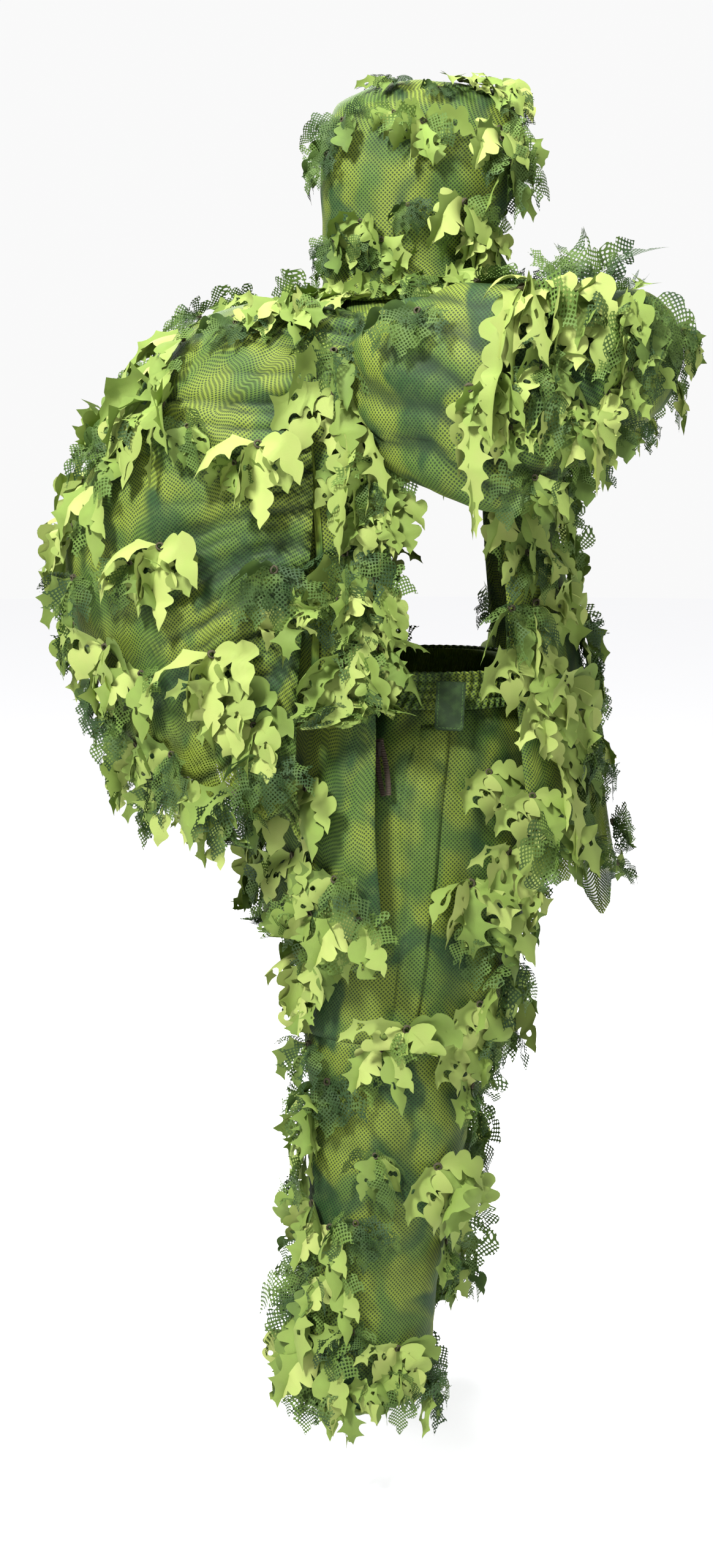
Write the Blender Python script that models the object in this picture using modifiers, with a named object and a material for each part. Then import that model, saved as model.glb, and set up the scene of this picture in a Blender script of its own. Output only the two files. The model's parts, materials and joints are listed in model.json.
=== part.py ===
"""A two-piece ghillie suit as worn: a hooded over-jacket with a pouch for a rucksack, and trousers.

Frame: +X is the wearer's front, +Y the wearer's left, +Z up. The origin is the centre of the waistband's
top edge. Heights in the tables below are above the ground that the wearer stands on.
"""

from math import cos, radians, sin

import bmesh
import bpy
from mathutils import Vector

# Driving dimensions, in metres
WAIST_HEIGHT = 1.085    # ground to the waistband's top edge
FABRIC = 0.0025         # garment wall
ELASTIC = 0.0030        # elastic and binding
LEAF_GAP = 0.008        # between the garment and the leaves that stand off it
LEAF_LAYER = 0.008      # depth of a layer of tied-on leaves
SEAM_GAP = 0.0006       # between two panels that a seam joins
KNEE_HEIGHT = 0.500
CHEST_SEAM_HEIGHT = 1.262
ARMHOLE = Vector((0.020, 0.224, 1.475))  # centre of the left armhole
ELBOW = Vector((0.250, 0.297, 1.486))    # centre of the left elbow
SLEEVE_HALF_WIDTH = 0.058
FOREARM_RADIUS = 0.052
ZIP_TOP = Vector((-0.066, 0.1975, 1.006))
ZIP_LENGTH = 0.074
TAB_SIZE = Vector((0.038, 0.0026, 0.064))

SIDES = (("right", -1), ("left", 1))

COLOURS = {
    "mesh": ((0.13, 0.30, 0.06, 1), 0.85),
    "leaf": ((0.30, 0.46, 0.10, 1), 0.75),
    "elastic": ((0.10, 0.22, 0.06, 1), 0.80),
    "webbing": ((0.03, 0.09, 0.04, 1), 0.55),
    "zip_tape": ((0.12, 0.08, 0.05, 1), 0.80),
    "metal": ((0.22, 0.20, 0.17, 1), 0.40),
}


def clear_scene():
    for obj in list(bpy.data.objects):
        bpy.data.objects.remove(obj)


def make_materials():
    made = {}
    for name, (colour, roughness) in COLOURS.items():
        material = bpy.data.materials.new(name)
        material.use_nodes = True
        shader = material.node_tree.nodes["Principled BSDF"]
        shader.inputs["Base Color"].default_value = colour
        shader.inputs["Roughness"].default_value = roughness
        shader.inputs["Metallic"].default_value = 1.0 if name == "metal" else 0.0
        made[name] = material
    return made


def on_side(point, side):
    """A point given for the wearer's left, moved to that side, with its height measured from the waist."""
    return Vector((point[0], side * point[1], point[2] - WAIST_HEIGHT))


class Loft:
    """A surface through oval sections. A station is (centre, first radius, second radius, squareness)."""

    def __init__(self, stations, side=1):
        self.side = side
        self.stations = [
            (Vector(centre), Vector(first), Vector(second), squareness)
            for centre, first, second, squareness in stations
        ]

    def section(self, along):
        """The section at that station number, with the ones between stations on a smooth curve."""
        last = len(self.stations) - 1
        k = min(int(along), last - 1)
        t = along - k
        p0, p1, p2, p3 = (self.stations[min(max(k + i, 0), last)] for i in (-1, 0, 1, 2))
        return [
            0.5 * (2 * b + (c - a) * t + (2 * a - 5 * b + 4 * c - d) * t**2 + (3 * b - a - 3 * c + d) * t**3)
            for a, b, c, d in zip(p0, p1, p2, p3)
        ]

    def on_wall(self, turn, along):
        centre, first, second, squareness = self.section(along)
        c = cos(radians(turn))
        s = sin(radians(turn))
        c = abs(c) ** (2 / squareness) * (1 if c >= 0 else -1)
        s = abs(s) ** (2 / squareness) * (1 if s >= 0 else -1)
        return centre + first * c + second * s

    def point(self, turn, along, out=0.0):
        """A point of the wall, moved outwards by out."""
        step = 0.02
        here = self.on_wall(turn, along)
        round_it = self.on_wall(turn + 1, along) - self.on_wall(turn - 1, along)
        last = len(self.stations) - 1
        down = self.on_wall(turn, min(along + step, last)) - self.on_wall(turn, max(along - step, 0))
        normal = round_it.cross(down).normalized()
        centre = self.section(along)[0]
        if normal.dot(here - centre) < 0:
            normal = -normal
        return on_side(here + normal * out, self.side)


def level(height, centre_x, centre_y, half_depth, half_width, squareness=2.0, rise=0.0):
    """A level section. rise lifts its front edge and lowers its back edge."""
    return ((centre_x, centre_y, height), (half_depth, 0, rise), (0, half_width, 0), squareness)


def mesh_object(name, vertices, faces, material):
    mesh = bpy.data.meshes.new(name)
    mesh.from_pydata(vertices, [], faces)
    mesh.materials.append(material)
    shape = bmesh.new()
    shape.from_mesh(mesh)
    bmesh.ops.recalc_face_normals(shape, faces=shape.faces)
    shape.to_mesh(mesh)
    shape.free()
    mesh.shade_smooth()
    obj = bpy.data.objects.new(name, mesh)
    SUIT.objects.link(obj)
    return obj


def panel(name, loft, turn, along, grid, material, out=0.0, thick=FABRIC, slant=0.0, closed_tip=False):
    """A piece of a loft's wall: turn is its span in degrees round the section, along its span of stations.

    slant moves its first edge by that many degrees between the top and the bottom.
    """
    across, down = grid
    whole_ring = turn[1] - turn[0] >= 360
    columns = across if whole_ring else across + 1
    vertices = []
    for j in range(down + 1):
        first = turn[0] + slant * j / down
        for i in range(columns):
            here = along[0] + (along[1] - along[0]) * j / down
            vertices.append(loft.point(first + (turn[1] - first) * i / across, here, out))
    faces = []
    for j in range(down):
        for i in range(across):
            k = (i + 1) % columns
            low, high = j * columns, (j + 1) * columns
            faces.append((low + i, low + k, high + k, high + i))
    if closed_tip:
        tip = sum((vertices[i] for i in range(columns)), Vector()) / columns
        vertices.append(tip)
        faces += [(len(vertices) - 1, (i + 1) % columns, i) for i in range(across)]
    obj = mesh_object(name, vertices, faces, material)
    # Solidify grows the wall along the normals, which have to point away from the section's centre.
    middle = obj.data.polygons[across * (down // 2) + across // 2]
    centre = on_side(loft.section((along[0] + along[1]) / 2)[0], loft.side)
    if middle.normal.dot(middle.center - centre) < 0:
        obj.data.flip_normals()
    wall = obj.modifiers.new("wall", "SOLIDIFY")
    wall.thickness = thick
    wall.offset = 1
    return obj


def leaf_layer(name, loft, turn, along, grid, thick=LEAF_LAYER):
    """Leaves tied on over a panel, as one soft layer outside its wall."""
    return panel(name, loft, turn, along, grid, MATERIALS["leaf"], out=FABRIC + LEAF_GAP, thick=thick)


def box_object(name, centre, size, material, turned=(0, 0, 0), bevel=0.0006):
    bpy.ops.mesh.primitive_cube_add(size=1, location=centre, rotation=turned)
    obj = bpy.context.active_object
    obj.name = name
    obj.scale = size
    bpy.ops.object.transform_apply(location=False, rotation=False, scale=True)
    obj.data.materials.append(material)
    edge = obj.modifiers.new("edge", "BEVEL")
    edge.width = bevel
    edge.segments = 1
    for collection in list(obj.users_collection):
        collection.objects.unlink(obj)
    SUIT.objects.link(obj)
    return obj


# Trousers

SEAT = (
    level(WAIST_HEIGHT, 0.012, 0, 0.122, 0.166, 2.2),
    level(1.035, 0.010, 0, 0.128, 0.174, 2.3),
    level(0.975, 0.000, 0, 0.146, 0.192, 2.5, 0.010),
    level(0.930, -0.008, 0, 0.160, 0.204, 2.6, 0.024),
    level(0.903, -0.012, 0, 0.168, 0.209, 2.7, 0.034),
)


def leg_sections(shift):
    """shift moves the hem forwards, because the wearer stands with one foot a little ahead."""
    return (
        level(0.928, -0.004, 0.100, 0.118, 0.084, 2.3),
        level(0.868, -0.006, 0.106, 0.130, 0.091, 2.3),
        level(0.800, -0.012 + 0.1 * shift, 0.113, 0.142, 0.098, 2.2),
        level(0.680, -0.025 + 0.25 * shift, 0.124, 0.135, 0.098, 2.1),
        level(0.580, -0.042 + 0.4 * shift, 0.134, 0.118, 0.094, 2.0),
        level(KNEE_HEIGHT, -0.048 + 0.5 * shift, 0.144, 0.106, 0.090, 2.0),
        level(0.400, -0.057 + 0.6 * shift, 0.155, 0.096, 0.086, 2.0),
        level(0.300, -0.072 + 0.8 * shift, 0.166, 0.088, 0.082, 2.0),
        level(0.210, -0.084 + 0.95 * shift, 0.176, 0.093, 0.084, 2.0),
        level(0.128, -0.090 + shift, 0.184, 0.096, 0.086, 2.0),
    )


KNEE_STATION = 5
HEM_STATION = 9


def trousers():
    seat = Loft(SEAT)
    panel("waistband", seat, (0, 360), (0.0, 0.96), (24, 1), MATERIALS["mesh"])
    panel("waist_elastic", seat, (0, 360), (0.12, 0.84), (24, 1), MATERIALS["elastic"], -0.0045, ELASTIC)
    seam = 0.15
    panel("seat_left", seat, (seam, 180 - seam), (1.0, 4.0), (12, 3), MATERIALS["mesh"])
    panel("seat_right", seat, (180 + seam, 360 - seam), (1.0, 4.0), (12, 3), MATERIALS["mesh"])
    for word, side in SIDES:
        leg(word, side, 0.0 if side < 0 else 0.055)
        waist_tab(word, side)
        pocket_zip(word, side)


def leg(word, side, shift):
    loft = Loft(leg_sections(shift), side)
    seam = 0.2
    knee_gap = 0.02
    front = (-90 + seam, 90 - seam)
    back = (90 + seam, 270 - seam)
    thigh = (0.0, KNEE_STATION - knee_gap)
    shin = (KNEE_STATION + knee_gap, HEM_STATION - 0.2)
    mesh = MATERIALS["mesh"]
    panel(f"{word}_thigh_front", loft, front, thigh, (7, 5), mesh)
    panel(f"{word}_thigh_back", loft, back, thigh, (7, 5), mesh)
    panel(f"{word}_shin_front", loft, front, shin, (7, 4), mesh)
    panel(f"{word}_shin_back", loft, back, shin, (7, 4), mesh)
    hem = (HEM_STATION - 0.18, HEM_STATION)
    panel(f"{word}_hem_elastic", loft, (0, 360), hem, (16, 1), MATERIALS["elastic"])
    panel(f"{word}_side_placket", loft, (86, 94), (1.75, 4.6), (1, 6), mesh, FABRIC + 0.0012, 0.0018)
    leaf_layer(f"{word}_thigh_leaves", loft, (60, 235), (2.2, 4.4), (8, 3))
    leaf_layer(f"{word}_shin_leaves", loft, (-20, 200), (5.6, 7.4), (10, 3))
    drop = Loft(
        (
            level(0.235, -0.082 + 0.95 * shift, 0.176, 0.098, 0.090),
            level(0.150, -0.090 + shift, 0.184, 0.104, 0.096),
            level(0.060, -0.092 + shift, 0.186, 0.106, 0.098),
        ),
        side,
    )
    leaf_layer(f"{word}_hem_leaves", drop, (-30, 215), (0, 2), (12, 2))


def waist_tab(word, side):
    """The flap that closes the top of the side opening. It turns up about its sewn top edge."""
    top = on_side((0.028, 0.1835, WAIST_HEIGHT - 0.006), side)
    lean = radians(3)
    sewn_edge = bpy.data.objects.new(f"{word}_tab_hinge", None)
    sewn_edge.location = top
    SUIT.objects.link(sewn_edge)
    tab = box_object(
        f"{word}_waist_tab", (0, 0, -TAB_SIZE.z / 2), TAB_SIZE, MATERIALS["webbing"], (0, 0, 0), 0.0008
    )
    tab.parent = sewn_edge
    sewn_edge.rotation_euler = (side * radians(13), lean, 0)


def pocket_zip(word, side):
    """A short slanted zip for reaching through to the trousers below, and its slider."""
    top = on_side(ZIP_TOP, side)
    slant = (side * radians(13.5), radians(-10), side * radians(8))
    holder = bpy.data.objects.new(f"{word}_zip_line", None)
    holder.location = top
    holder.rotation_euler = slant
    SUIT.objects.link(holder)
    tape = box_object(
        f"{word}_pocket_zip", (0, 0, -ZIP_LENGTH / 2), (0.014, 0.0016, ZIP_LENGTH), MATERIALS["zip_tape"]
    )
    tape.parent = holder
    slider = box_object(
        f"{word}_zip_slider", (0, side * 0.0034, -0.009), (0.007, 0.0036, 0.012), MATERIALS["metal"], bevel=0.0009
    )
    slider.parent = holder


# Jacket

YOKE = (
    level(1.585, -0.022, 0, 0.098, 0.088),
    level(1.565, -0.020, 0, 0.112, 0.118, 2.1),
    level(1.540, -0.010, 0, 0.126, 0.165, 2.2),
    level(1.500, 0.000, 0, 0.138, 0.200, 2.3),
    level(1.440, 0.008, 0, 0.146, 0.212, 2.4),
)

BODICE = (
    level(1.436, 0.008, 0, 0.147, 0.213, 2.4),
    level(1.350, 0.010, 0, 0.154, 0.218, 2.4),
    level(CHEST_SEAM_HEIGHT, 0.010, 0, 0.164, 0.222, 2.4),
    level(1.150, 0.010, 0, 0.180, 0.232, 2.4),
    level(1.030, 0.010, 0, 0.198, 0.240, 2.4),
    level(0.900, 0.006, 0, 0.216, 0.244, 2.4),
    level(0.800, 0.006, 0, 0.228, 0.246, 2.4),
    level(0.700, 0.002, 0, 0.236, 0.250, 2.4),
)

CHEST_STATION = 2

SIDE_BAND = (
    level(1.436, 0.000, 0, 0.318, 0.220, 3.0),
    level(1.350, 0.004, 0, 0.300, 0.224, 3.0),
    level(1.250, 0.008, 0, 0.290, 0.226, 3.0),
    level(1.150, 0.004, 0, 0.290, 0.230, 3.0),
    level(1.030, 0.000, 0, 0.290, 0.238, 3.0),
)


def jacket():
    yoke = Loft(YOKE)
    bodice = Loft(BODICE)
    mesh = MATERIALS["mesh"]
    panel("yoke", yoke, (0, 360), (0.46, 4.0), (24, 4), mesh)
    panel("neck_binding", yoke, (0, 360), (0.0, 0.40), (24, 1), MATERIALS["elastic"])
    leaf_layer("yoke_leaves", yoke, (-125, 125), (1.3, 2.6), (14, 1))
    panel("chest_panel", bodice, (-62, 62), (0.02, CHEST_STATION - 0.02), (10, 2), mesh)
    panel("front_flap", bodice, (-66, 66), (CHEST_STATION + 0.02, 6.0), (10, 4), mesh)
    leaf_layer("front_flap_leaves", bodice, (-58, 58), (2.5, 6.35), (10, 4))
    for word, side in SIDES:
        half = Loft(BODICE, side)
        band = Loft(SIDE_BAND, side)
        panel(f"{word}_side_band", band, (98.0, 107.0), (0.02, 3.96), (2, 5), mesh, slant=-3.2)
        panel(f"{word}_gather_elastic", band, (107.4, 109.0), (0.02, 3.96), (1, 5), MATERIALS["elastic"])
        leaf_layer(f"{word}_band_leaves", band, (96.0, 102.0), (0.9, 3.9), (2, 4))
        panel(f"{word}_skirt", half, (112, 179.8), (4.16, 7.0), (7, 3), mesh, slant=-9)


# Pouch for the rucksack, open to the wearer's back

POUCH = (
    level(1.562, -0.146, 0, 0.020, 0.060, 2.2),
    level(1.554, -0.146, 0, 0.105, 0.130, 2.2),
    level(1.534, -0.146, 0, 0.165, 0.178, 2.3),
    level(1.492, -0.146, 0, 0.218, 0.208, 2.4),
    level(1.430, -0.144, 0, 0.272, 0.224, 2.4),
    level(1.350, -0.138, 0, 0.318, 0.230, 2.4),
    level(1.260, -0.134, 0, 0.348, 0.232, 2.4),
    level(1.170, -0.136, 0, 0.342, 0.236, 2.4),
    level(1.080, -0.140, 0, 0.310, 0.240, 2.4),
    level(0.990, -0.144, 0, 0.270, 0.240, 2.4),
    level(0.930, -0.146, 0, 0.234, 0.236, 2.4),
    level(0.880, -0.146, 0, 0.182, 0.230, 2.4),
)


def pouch():
    cover = Loft(POUCH)
    mesh = MATERIALS["mesh"]
    back = (126, 234)
    panel("pouch_top", cover, (91, 269), (0.0, 2.98), (14, 3), mesh)
    panel("pouch_back", cover, back, (3.02, 9.98), (10, 7), mesh)
    panel("pouch_bottom", cover, (100, 260), (10.02, 11.0), (14, 1), mesh)
    leaf_layer("pouch_leaves", cover, (130, 230), (3.3, 9.8), (9, 6))
    for word, side in SIDES:
        half = Loft(POUCH, side)
        panel(f"{word}_gusset", half, (91, back[0] - 0.3), (3.02, 9.98), (4, 7), mesh)


# Hood

HOOD = (
    level(1.842, -0.010, 0, 0.046, 0.034, 2.0),
    level(1.834, -0.006, 0, 0.080, 0.064, 2.1),
    level(1.812, -0.002, 0, 0.112, 0.088, 2.2),
    level(1.775, 0.004, 0, 0.136, 0.104, 2.2),
    level(1.720, 0.002, 0, 0.139, 0.110, 2.2),
    level(1.660, -0.010, 0, 0.128, 0.108, 2.2),
    level(1.604, -0.010, 0, 0.126, 0.104, 2.1),
)

FACE_EDGE = 30      # degrees from straight ahead to the face opening's edge, at its top
FACE_SPREAD = 8     # how much further round that edge is at its bottom


def hood():
    shell = Loft(HOOD)
    mesh = MATERIALS["mesh"]
    panel("hood_crown", shell, (0, 360), (0.0, 2.98), (20, 3), mesh, closed_tip=True)
    for word, side in SIDES:
        half = Loft(HOOD, side)
        panel(f"hood_{word}", half, (FACE_EDGE, 179.8), (3.02, 6.0), (9, 4), mesh, slant=FACE_SPREAD)
    leaf_layer("hood_leaves", shell, (-70, 70), (2.1, 2.94), (12, 1))


# Sleeves, with the arms folded high in front of the chest

def sleeve_sections():
    """From the armhole, which faces the yoke, round to the front and along the upper arm to the elbow."""
    w = SLEEVE_HALF_WIDTH
    y = ELBOW.y
    return (
        ((ARMHOLE.x, ARMHOLE.y, ARMHOLE.z), (0, 0, 0.086), (-0.068, 0, 0), 2.1),
        ((0.029, 0.2555, 1.462), (0, 0, 0.108), (-0.063, 0.0265, 0), 2.1),
        ((0.057, 0.285, 1.448), (0, 0, 0.128), (-0.039, 0.051, 0), 2.1),
        ((0.104, y, 1.440), (0, 0, 0.134), (0, w, 0), 2.1),
        ((0.148, y, 1.456), (0, 0, 0.116), (0, w, 0), 2.1),
        ((0.190, y, 1.476), (0, 0, 0.094), (0.018, w, 0), 2.1),
        ((ELBOW.x - 0.003, y, ELBOW.z), (0, 0, 0.080), (FOREARM_RADIUS, w, 0), 2.1),
    )


def forearm_sections():
    """From the cuff, near the middle of the chest, to the elbow."""
    r = FOREARM_RADIUS
    return (
        ((0.246, 0.020, 1.478), (0, 0, 0.044), (0.042, 0, 0), 2.0),
        ((0.246, 0.050, 1.480), (0, 0, 0.050), (0.047, 0, 0), 2.0),
        ((0.248, 0.130, 1.484), (0, 0, 0.064), (0.050, 0, 0), 2.1),
        ((0.250, 0.205, 1.487), (0, 0, 0.073), (r, 0.016, 0), 2.1),
        ((ELBOW.x + 0.003, ELBOW.y - 0.003, ELBOW.z), (0, 0, 0.079), (r, SLEEVE_HALF_WIDTH, 0), 2.1),
    )


def sleeves():
    for word, side in SIDES:
        upper = Loft(sleeve_sections(), side)
        lower = Loft(forearm_sections(), side)
        panel(f"{word}_upper_sleeve", upper, (0, 360), (0.0, 5.96), (16, 7), MATERIALS["mesh"])
        panel(f"{word}_forearm_sleeve", lower, (0, 360), (0.50, 3.96), (16, 5), MATERIALS["mesh"])
        panel(f"{word}_cuff_elastic", lower, (0, 360), (0.0, 0.46), (16, 1), MATERIALS["elastic"])
        leaf_layer(f"{word}_sleeve_leaves", upper, (50, 172), (2.0, 5.0), (7, 4))


clear_scene()
MATERIALS = make_materials()
SUIT = bpy.data.collections.new("ghillie_suit")
bpy.context.scene.collection.children.link(SUIT)
trousers()
jacket()
pouch()
hood()
sleeves()
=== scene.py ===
import json
import math
import random

import bmesh
import bpy
import numpy as np
from mathutils import Matrix, Vector, noise
from mathutils.bvhtree import BVHTree

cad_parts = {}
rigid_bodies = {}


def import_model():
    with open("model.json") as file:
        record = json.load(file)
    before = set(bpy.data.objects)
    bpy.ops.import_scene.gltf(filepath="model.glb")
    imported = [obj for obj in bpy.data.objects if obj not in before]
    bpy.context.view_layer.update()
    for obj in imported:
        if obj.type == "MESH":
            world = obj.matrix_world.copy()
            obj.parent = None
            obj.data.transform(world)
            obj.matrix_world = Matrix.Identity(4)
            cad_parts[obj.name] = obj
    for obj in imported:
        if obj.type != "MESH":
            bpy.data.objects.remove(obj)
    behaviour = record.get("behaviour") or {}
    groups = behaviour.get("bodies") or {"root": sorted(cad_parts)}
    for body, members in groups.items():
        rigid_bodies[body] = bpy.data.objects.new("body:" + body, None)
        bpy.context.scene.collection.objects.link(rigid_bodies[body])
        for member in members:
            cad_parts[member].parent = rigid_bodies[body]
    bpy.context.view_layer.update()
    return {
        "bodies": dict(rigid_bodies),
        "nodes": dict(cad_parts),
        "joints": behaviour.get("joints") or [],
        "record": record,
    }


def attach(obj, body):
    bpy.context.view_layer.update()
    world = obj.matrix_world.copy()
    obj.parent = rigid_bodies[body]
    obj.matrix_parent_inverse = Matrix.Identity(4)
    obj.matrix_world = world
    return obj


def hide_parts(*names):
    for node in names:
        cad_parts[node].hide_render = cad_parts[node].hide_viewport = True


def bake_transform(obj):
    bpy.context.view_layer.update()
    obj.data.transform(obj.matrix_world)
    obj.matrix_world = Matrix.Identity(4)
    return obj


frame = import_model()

waistHeight = 1.085  # every height in the tables below is above the ground, and the frame starts at the waist
sides = {"right": -1, "left": 1}
collection = bpy.context.scene.collection


# shader maths is written as ordinary expressions of Wire values
class Wire:
    def __init__(self, paint, socket):
        self.paint = paint
        self.socket = socket

    def math(self, operation, *values):
        return self.paint.node("ShaderNodeMath", {"operation": operation}, dict(enumerate(values)))

    def __add__(self, other):
        return self.math("ADD", self, other)

    def __radd__(self, other):
        return self.math("ADD", other, self)

    def __sub__(self, other):
        return self.math("SUBTRACT", self, other)

    def __rsub__(self, other):
        return self.math("SUBTRACT", other, self)

    def __mul__(self, other):
        return self.math("MULTIPLY", self, other)

    def __rmul__(self, other):
        return self.math("MULTIPLY", other, self)

    def __truediv__(self, other):
        return self.math("DIVIDE", self, other)

    def fraction(self):
        return self.math("FRACT", self)

    def root(self):
        return self.math("SQRT", self)

    def sine(self):
        return self.math("SINE", self)

    def ramp(self, low, high):  # 0 at low and 1 at high, held flat outside them
        settings = {"interpolation_type": "SMOOTHSTEP"}
        values = {"Value": self, "From Min": low, "From Max": high}
        return self.paint.node("ShaderNodeMapRange", settings, values)


class Paint:
    def __init__(self, name):
        self.material = bpy.data.materials.new(name)
        self.material.use_nodes = True
        self.tree = self.material.node_tree
        self.tree.nodes.clear()

    def node(self, kind, settings=None, values=None, out=0):
        made = self.tree.nodes.new(kind)
        for key, value in (settings or {}).items():
            setattr(made, key, value)
        for key, value in (values or {}).items():
            if isinstance(value, Wire):
                self.tree.links.new(value.socket, made.inputs[key])
            else:
                made.inputs[key].default_value = value
        return Wire(self, made.outputs[out])

    def objectPoint(self):
        return self.node("ShaderNodeTexCoord", out="Object")

    def clothPoint(self):
        return self.node("ShaderNodeUVMap", {"uv_map": "cloth"})

    def split(self, vector):
        parts = self.node("ShaderNodeSeparateXYZ", None, {0: vector})
        return [Wire(self, parts.socket.node.outputs[i]) for i in range(3)]

    def value(self, name):
        return self.node("ShaderNodeAttribute", {"attribute_name": name}, out="Fac")

    def noise(self, point, scale, detail=2.0, roughness=0.5, distortion=0.0):
        values = {"Scale": scale, "Detail": detail, "Roughness": roughness, "Distortion": distortion}
        return self.node("ShaderNodeTexNoise", None, {"Vector": point, **values})

    def mix(self, share, first, second):
        return self.node("ShaderNodeMix", {"data_type": "RGBA"}, {0: share, 6: first, 7: second}, out=2)

    def finish(self, colour, roughness, height=None, bumpDistance=0.001, alpha=None, glow=None, **constants):
        shader = self.tree.nodes.new("ShaderNodeBsdfPrincipled")
        looks = {"Base Color": colour, "Roughness": roughness, "Alpha": alpha, "Emission Color": glow}
        for key, value in looks.items():
            if isinstance(value, Wire):
                self.tree.links.new(value.socket, shader.inputs[key])
            elif value is not None:
                shader.inputs[key].default_value = value
        for key, value in constants.items():
            shader.inputs[key.replace("_", " ")].default_value = value
        if height is not None:
            values = {"Distance": bumpDistance, "Strength": 0.8, "Height": height}
            self.tree.links.new(self.node("ShaderNodeBump", None, values).socket, shader.inputs["Normal"])
        output = self.tree.nodes.new("ShaderNodeOutputMaterial")
        self.tree.links.new(shader.outputs[0], output.inputs[0])
        return self.material


netCloth = {
    "spacing": 0.0039,  # between neighbouring holes
    "hole": 0.335,  # hole radius, as a share of the spacing
    "blotches": 13.0,  # how many to the metre, of each layer of the print
    "patches": 21.0,
    "yellowGreen": (0.205, 0.275, 0.022, 1),
    "midGreen": (0.085, 0.168, 0.017, 1),
    "tealGreen": (0.022, 0.076, 0.012, 1),
    # painted shade: the dark that is put into creases and into holes that can't be seen through
    "paintedShade": (0.007, 0.026, 0.005, 1),
    "worn": (0.30, 0.40, 0.09, 1),
}


def holePattern(paint, spacing, radius):
    across, down, _ = paint.split(paint.clothPoint())
    first = ((across + down) / (spacing * math.sqrt(2))).fraction() - 0.5
    second = ((across - down) / (spacing * math.sqrt(2))).fraction() - 0.5
    distance = (first * first + second * second).root()
    return 1 - distance.ramp(radius - 0.05, radius + 0.05)


def printedGreens(paint, shift):
    settled = {"Vector": paint.objectPoint(), "Location": shift, "Scale": (1, 1, 0.75)}
    place = paint.node("ShaderNodeMapping", None, settled)
    blotch = paint.noise(place, netCloth["blotches"], 1.6, 0.5, 0.5)
    patch = paint.noise(place, netCloth["patches"], 1.2, 0.45, 0.3)
    base = paint.mix(patch.ramp(0.40, 0.62), netCloth["yellowGreen"], netCloth["midGreen"])
    return paint.mix(blotch.ramp(0.525, 0.645), base, netCloth["tealGreen"])


def makeNetCloth():
    paint = Paint("netCloth")
    holes = holePattern(paint, netCloth["spacing"], netCloth["hole"])
    greens = printedGreens(paint, (0, 0, 0))
    threads = paint.noise(paint.objectPoint(), 900.0, 2.0)
    worn = paint.noise(paint.objectPoint(), 60.0, 3.0)
    greens = paint.mix(worn.ramp(0.35, 0.75) * 0.14, greens, netCloth["worn"])
    # painted shade: the colour darkens where a fold lies deeper than the cloth round it
    greens = paint.mix(paint.value("crease") * 0.72, greens, netCloth["paintedShade"])
    # painted shade: where the cloth isn't see-through, its holes are painted dark for the shade inside the garment
    colour = paint.mix(holes * (1 - paint.value("see")) * 0.86, greens, netCloth["paintedShade"])
    alpha = 1 - holes * paint.value("see")
    roughness = 0.62 + worn * 0.2
    height = threads * 0.25 - holes
    return paint.finish(colour, roughness, height, 0.0006, alpha)


leafCloth = {
    # lit, middle and dark are lit and shaded copies of the leaf colour: painted light and shade, together with the
    # fabric's own tone
    "lit": (0.430, 0.500, 0.135, 1),
    "middle": (0.200, 0.285, 0.050, 1),
    "dark": (0.042, 0.092, 0.013, 1),
    "cloud": (0.30, 0.50, 0.08, 1),
    "netHole": 0.33,
    # netDark and netLit are shaded and lit copies of the net leaf colour: painted shade and light, together with
    # the net's own tone
    "netDark": (0.020, 0.056, 0.009, 1),
    "netLit": (0.10, 0.18, 0.024, 1),
    "netCloud": (0.17, 0.28, 0.04, 1),
}


def makeLeafCloth():
    paint = Paint("leafCloth")
    tone = paint.value("tone")
    weave = paint.noise(paint.objectPoint(), 1400.0, 1.0)
    cloud = paint.noise(paint.objectPoint(), 38.0, 2.0)
    # painted light and shade: each leaf's random tone picks between shaded, middle and lit copies of the colour,
    # along with the fabric's own tone
    light = paint.mix(tone.ramp(0.35, 0.95), leafCloth["middle"], leafCloth["lit"])
    colour = paint.mix(tone.ramp(0.0, 0.35), leafCloth["dark"], light)
    colour = paint.mix(cloud.ramp(0.3, 0.8) * 0.22, colour, leafCloth["cloud"])
    return paint.finish(colour, 0.70 + cloud * 0.15, weave + cloud * 2, 0.0004)


def makeLeafNet():
    paint = Paint("leafNet")
    holes = holePattern(paint, netCloth["spacing"], leafCloth["netHole"])
    tone = paint.value("tone")
    cloud = paint.noise(paint.objectPoint(), 22.0, 1.0)
    # painted light and shade: each net leaf's random tone picks between a shaded and a lit copy of the net colour,
    # along with its own tone
    colour = paint.mix(tone.ramp(0.1, 0.9), leafCloth["netDark"], leafCloth["netLit"])
    colour = paint.mix(cloud.ramp(0.45, 0.6) * 0.4, colour, leafCloth["netCloud"])
    threads = paint.noise(paint.objectPoint(), 900.0, 1.0)
    return paint.finish(colour, 0.72, threads * 0.3 - holes, 0.0005, 1 - holes * 0.96)


def makeKnotCord():
    paint = Paint("knotCord")
    strands = paint.noise(paint.objectPoint(), 700.0, 2.0)
    colour = paint.mix(strands, (0.045, 0.040, 0.020, 1), (0.11, 0.095, 0.050, 1))
    return paint.finish(colour, 0.8, strands, 0.0006)


def makeElastic():
    paint = Paint("ribbedElastic")
    across, _, _ = paint.split(paint.clothPoint())
    ribs = (across * 2200).sine()
    greens = printedGreens(paint, (0.4, 0.1, 0.2))
    worn = paint.noise(paint.objectPoint(), 120.0, 2.0)
    colour = paint.mix(worn.ramp(0.4, 0.8) * 0.35, greens, (0.05, 0.13, 0.03, 1))
    return paint.finish(colour, 0.75, ribs * 0.5 + worn, 0.0007)


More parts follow.
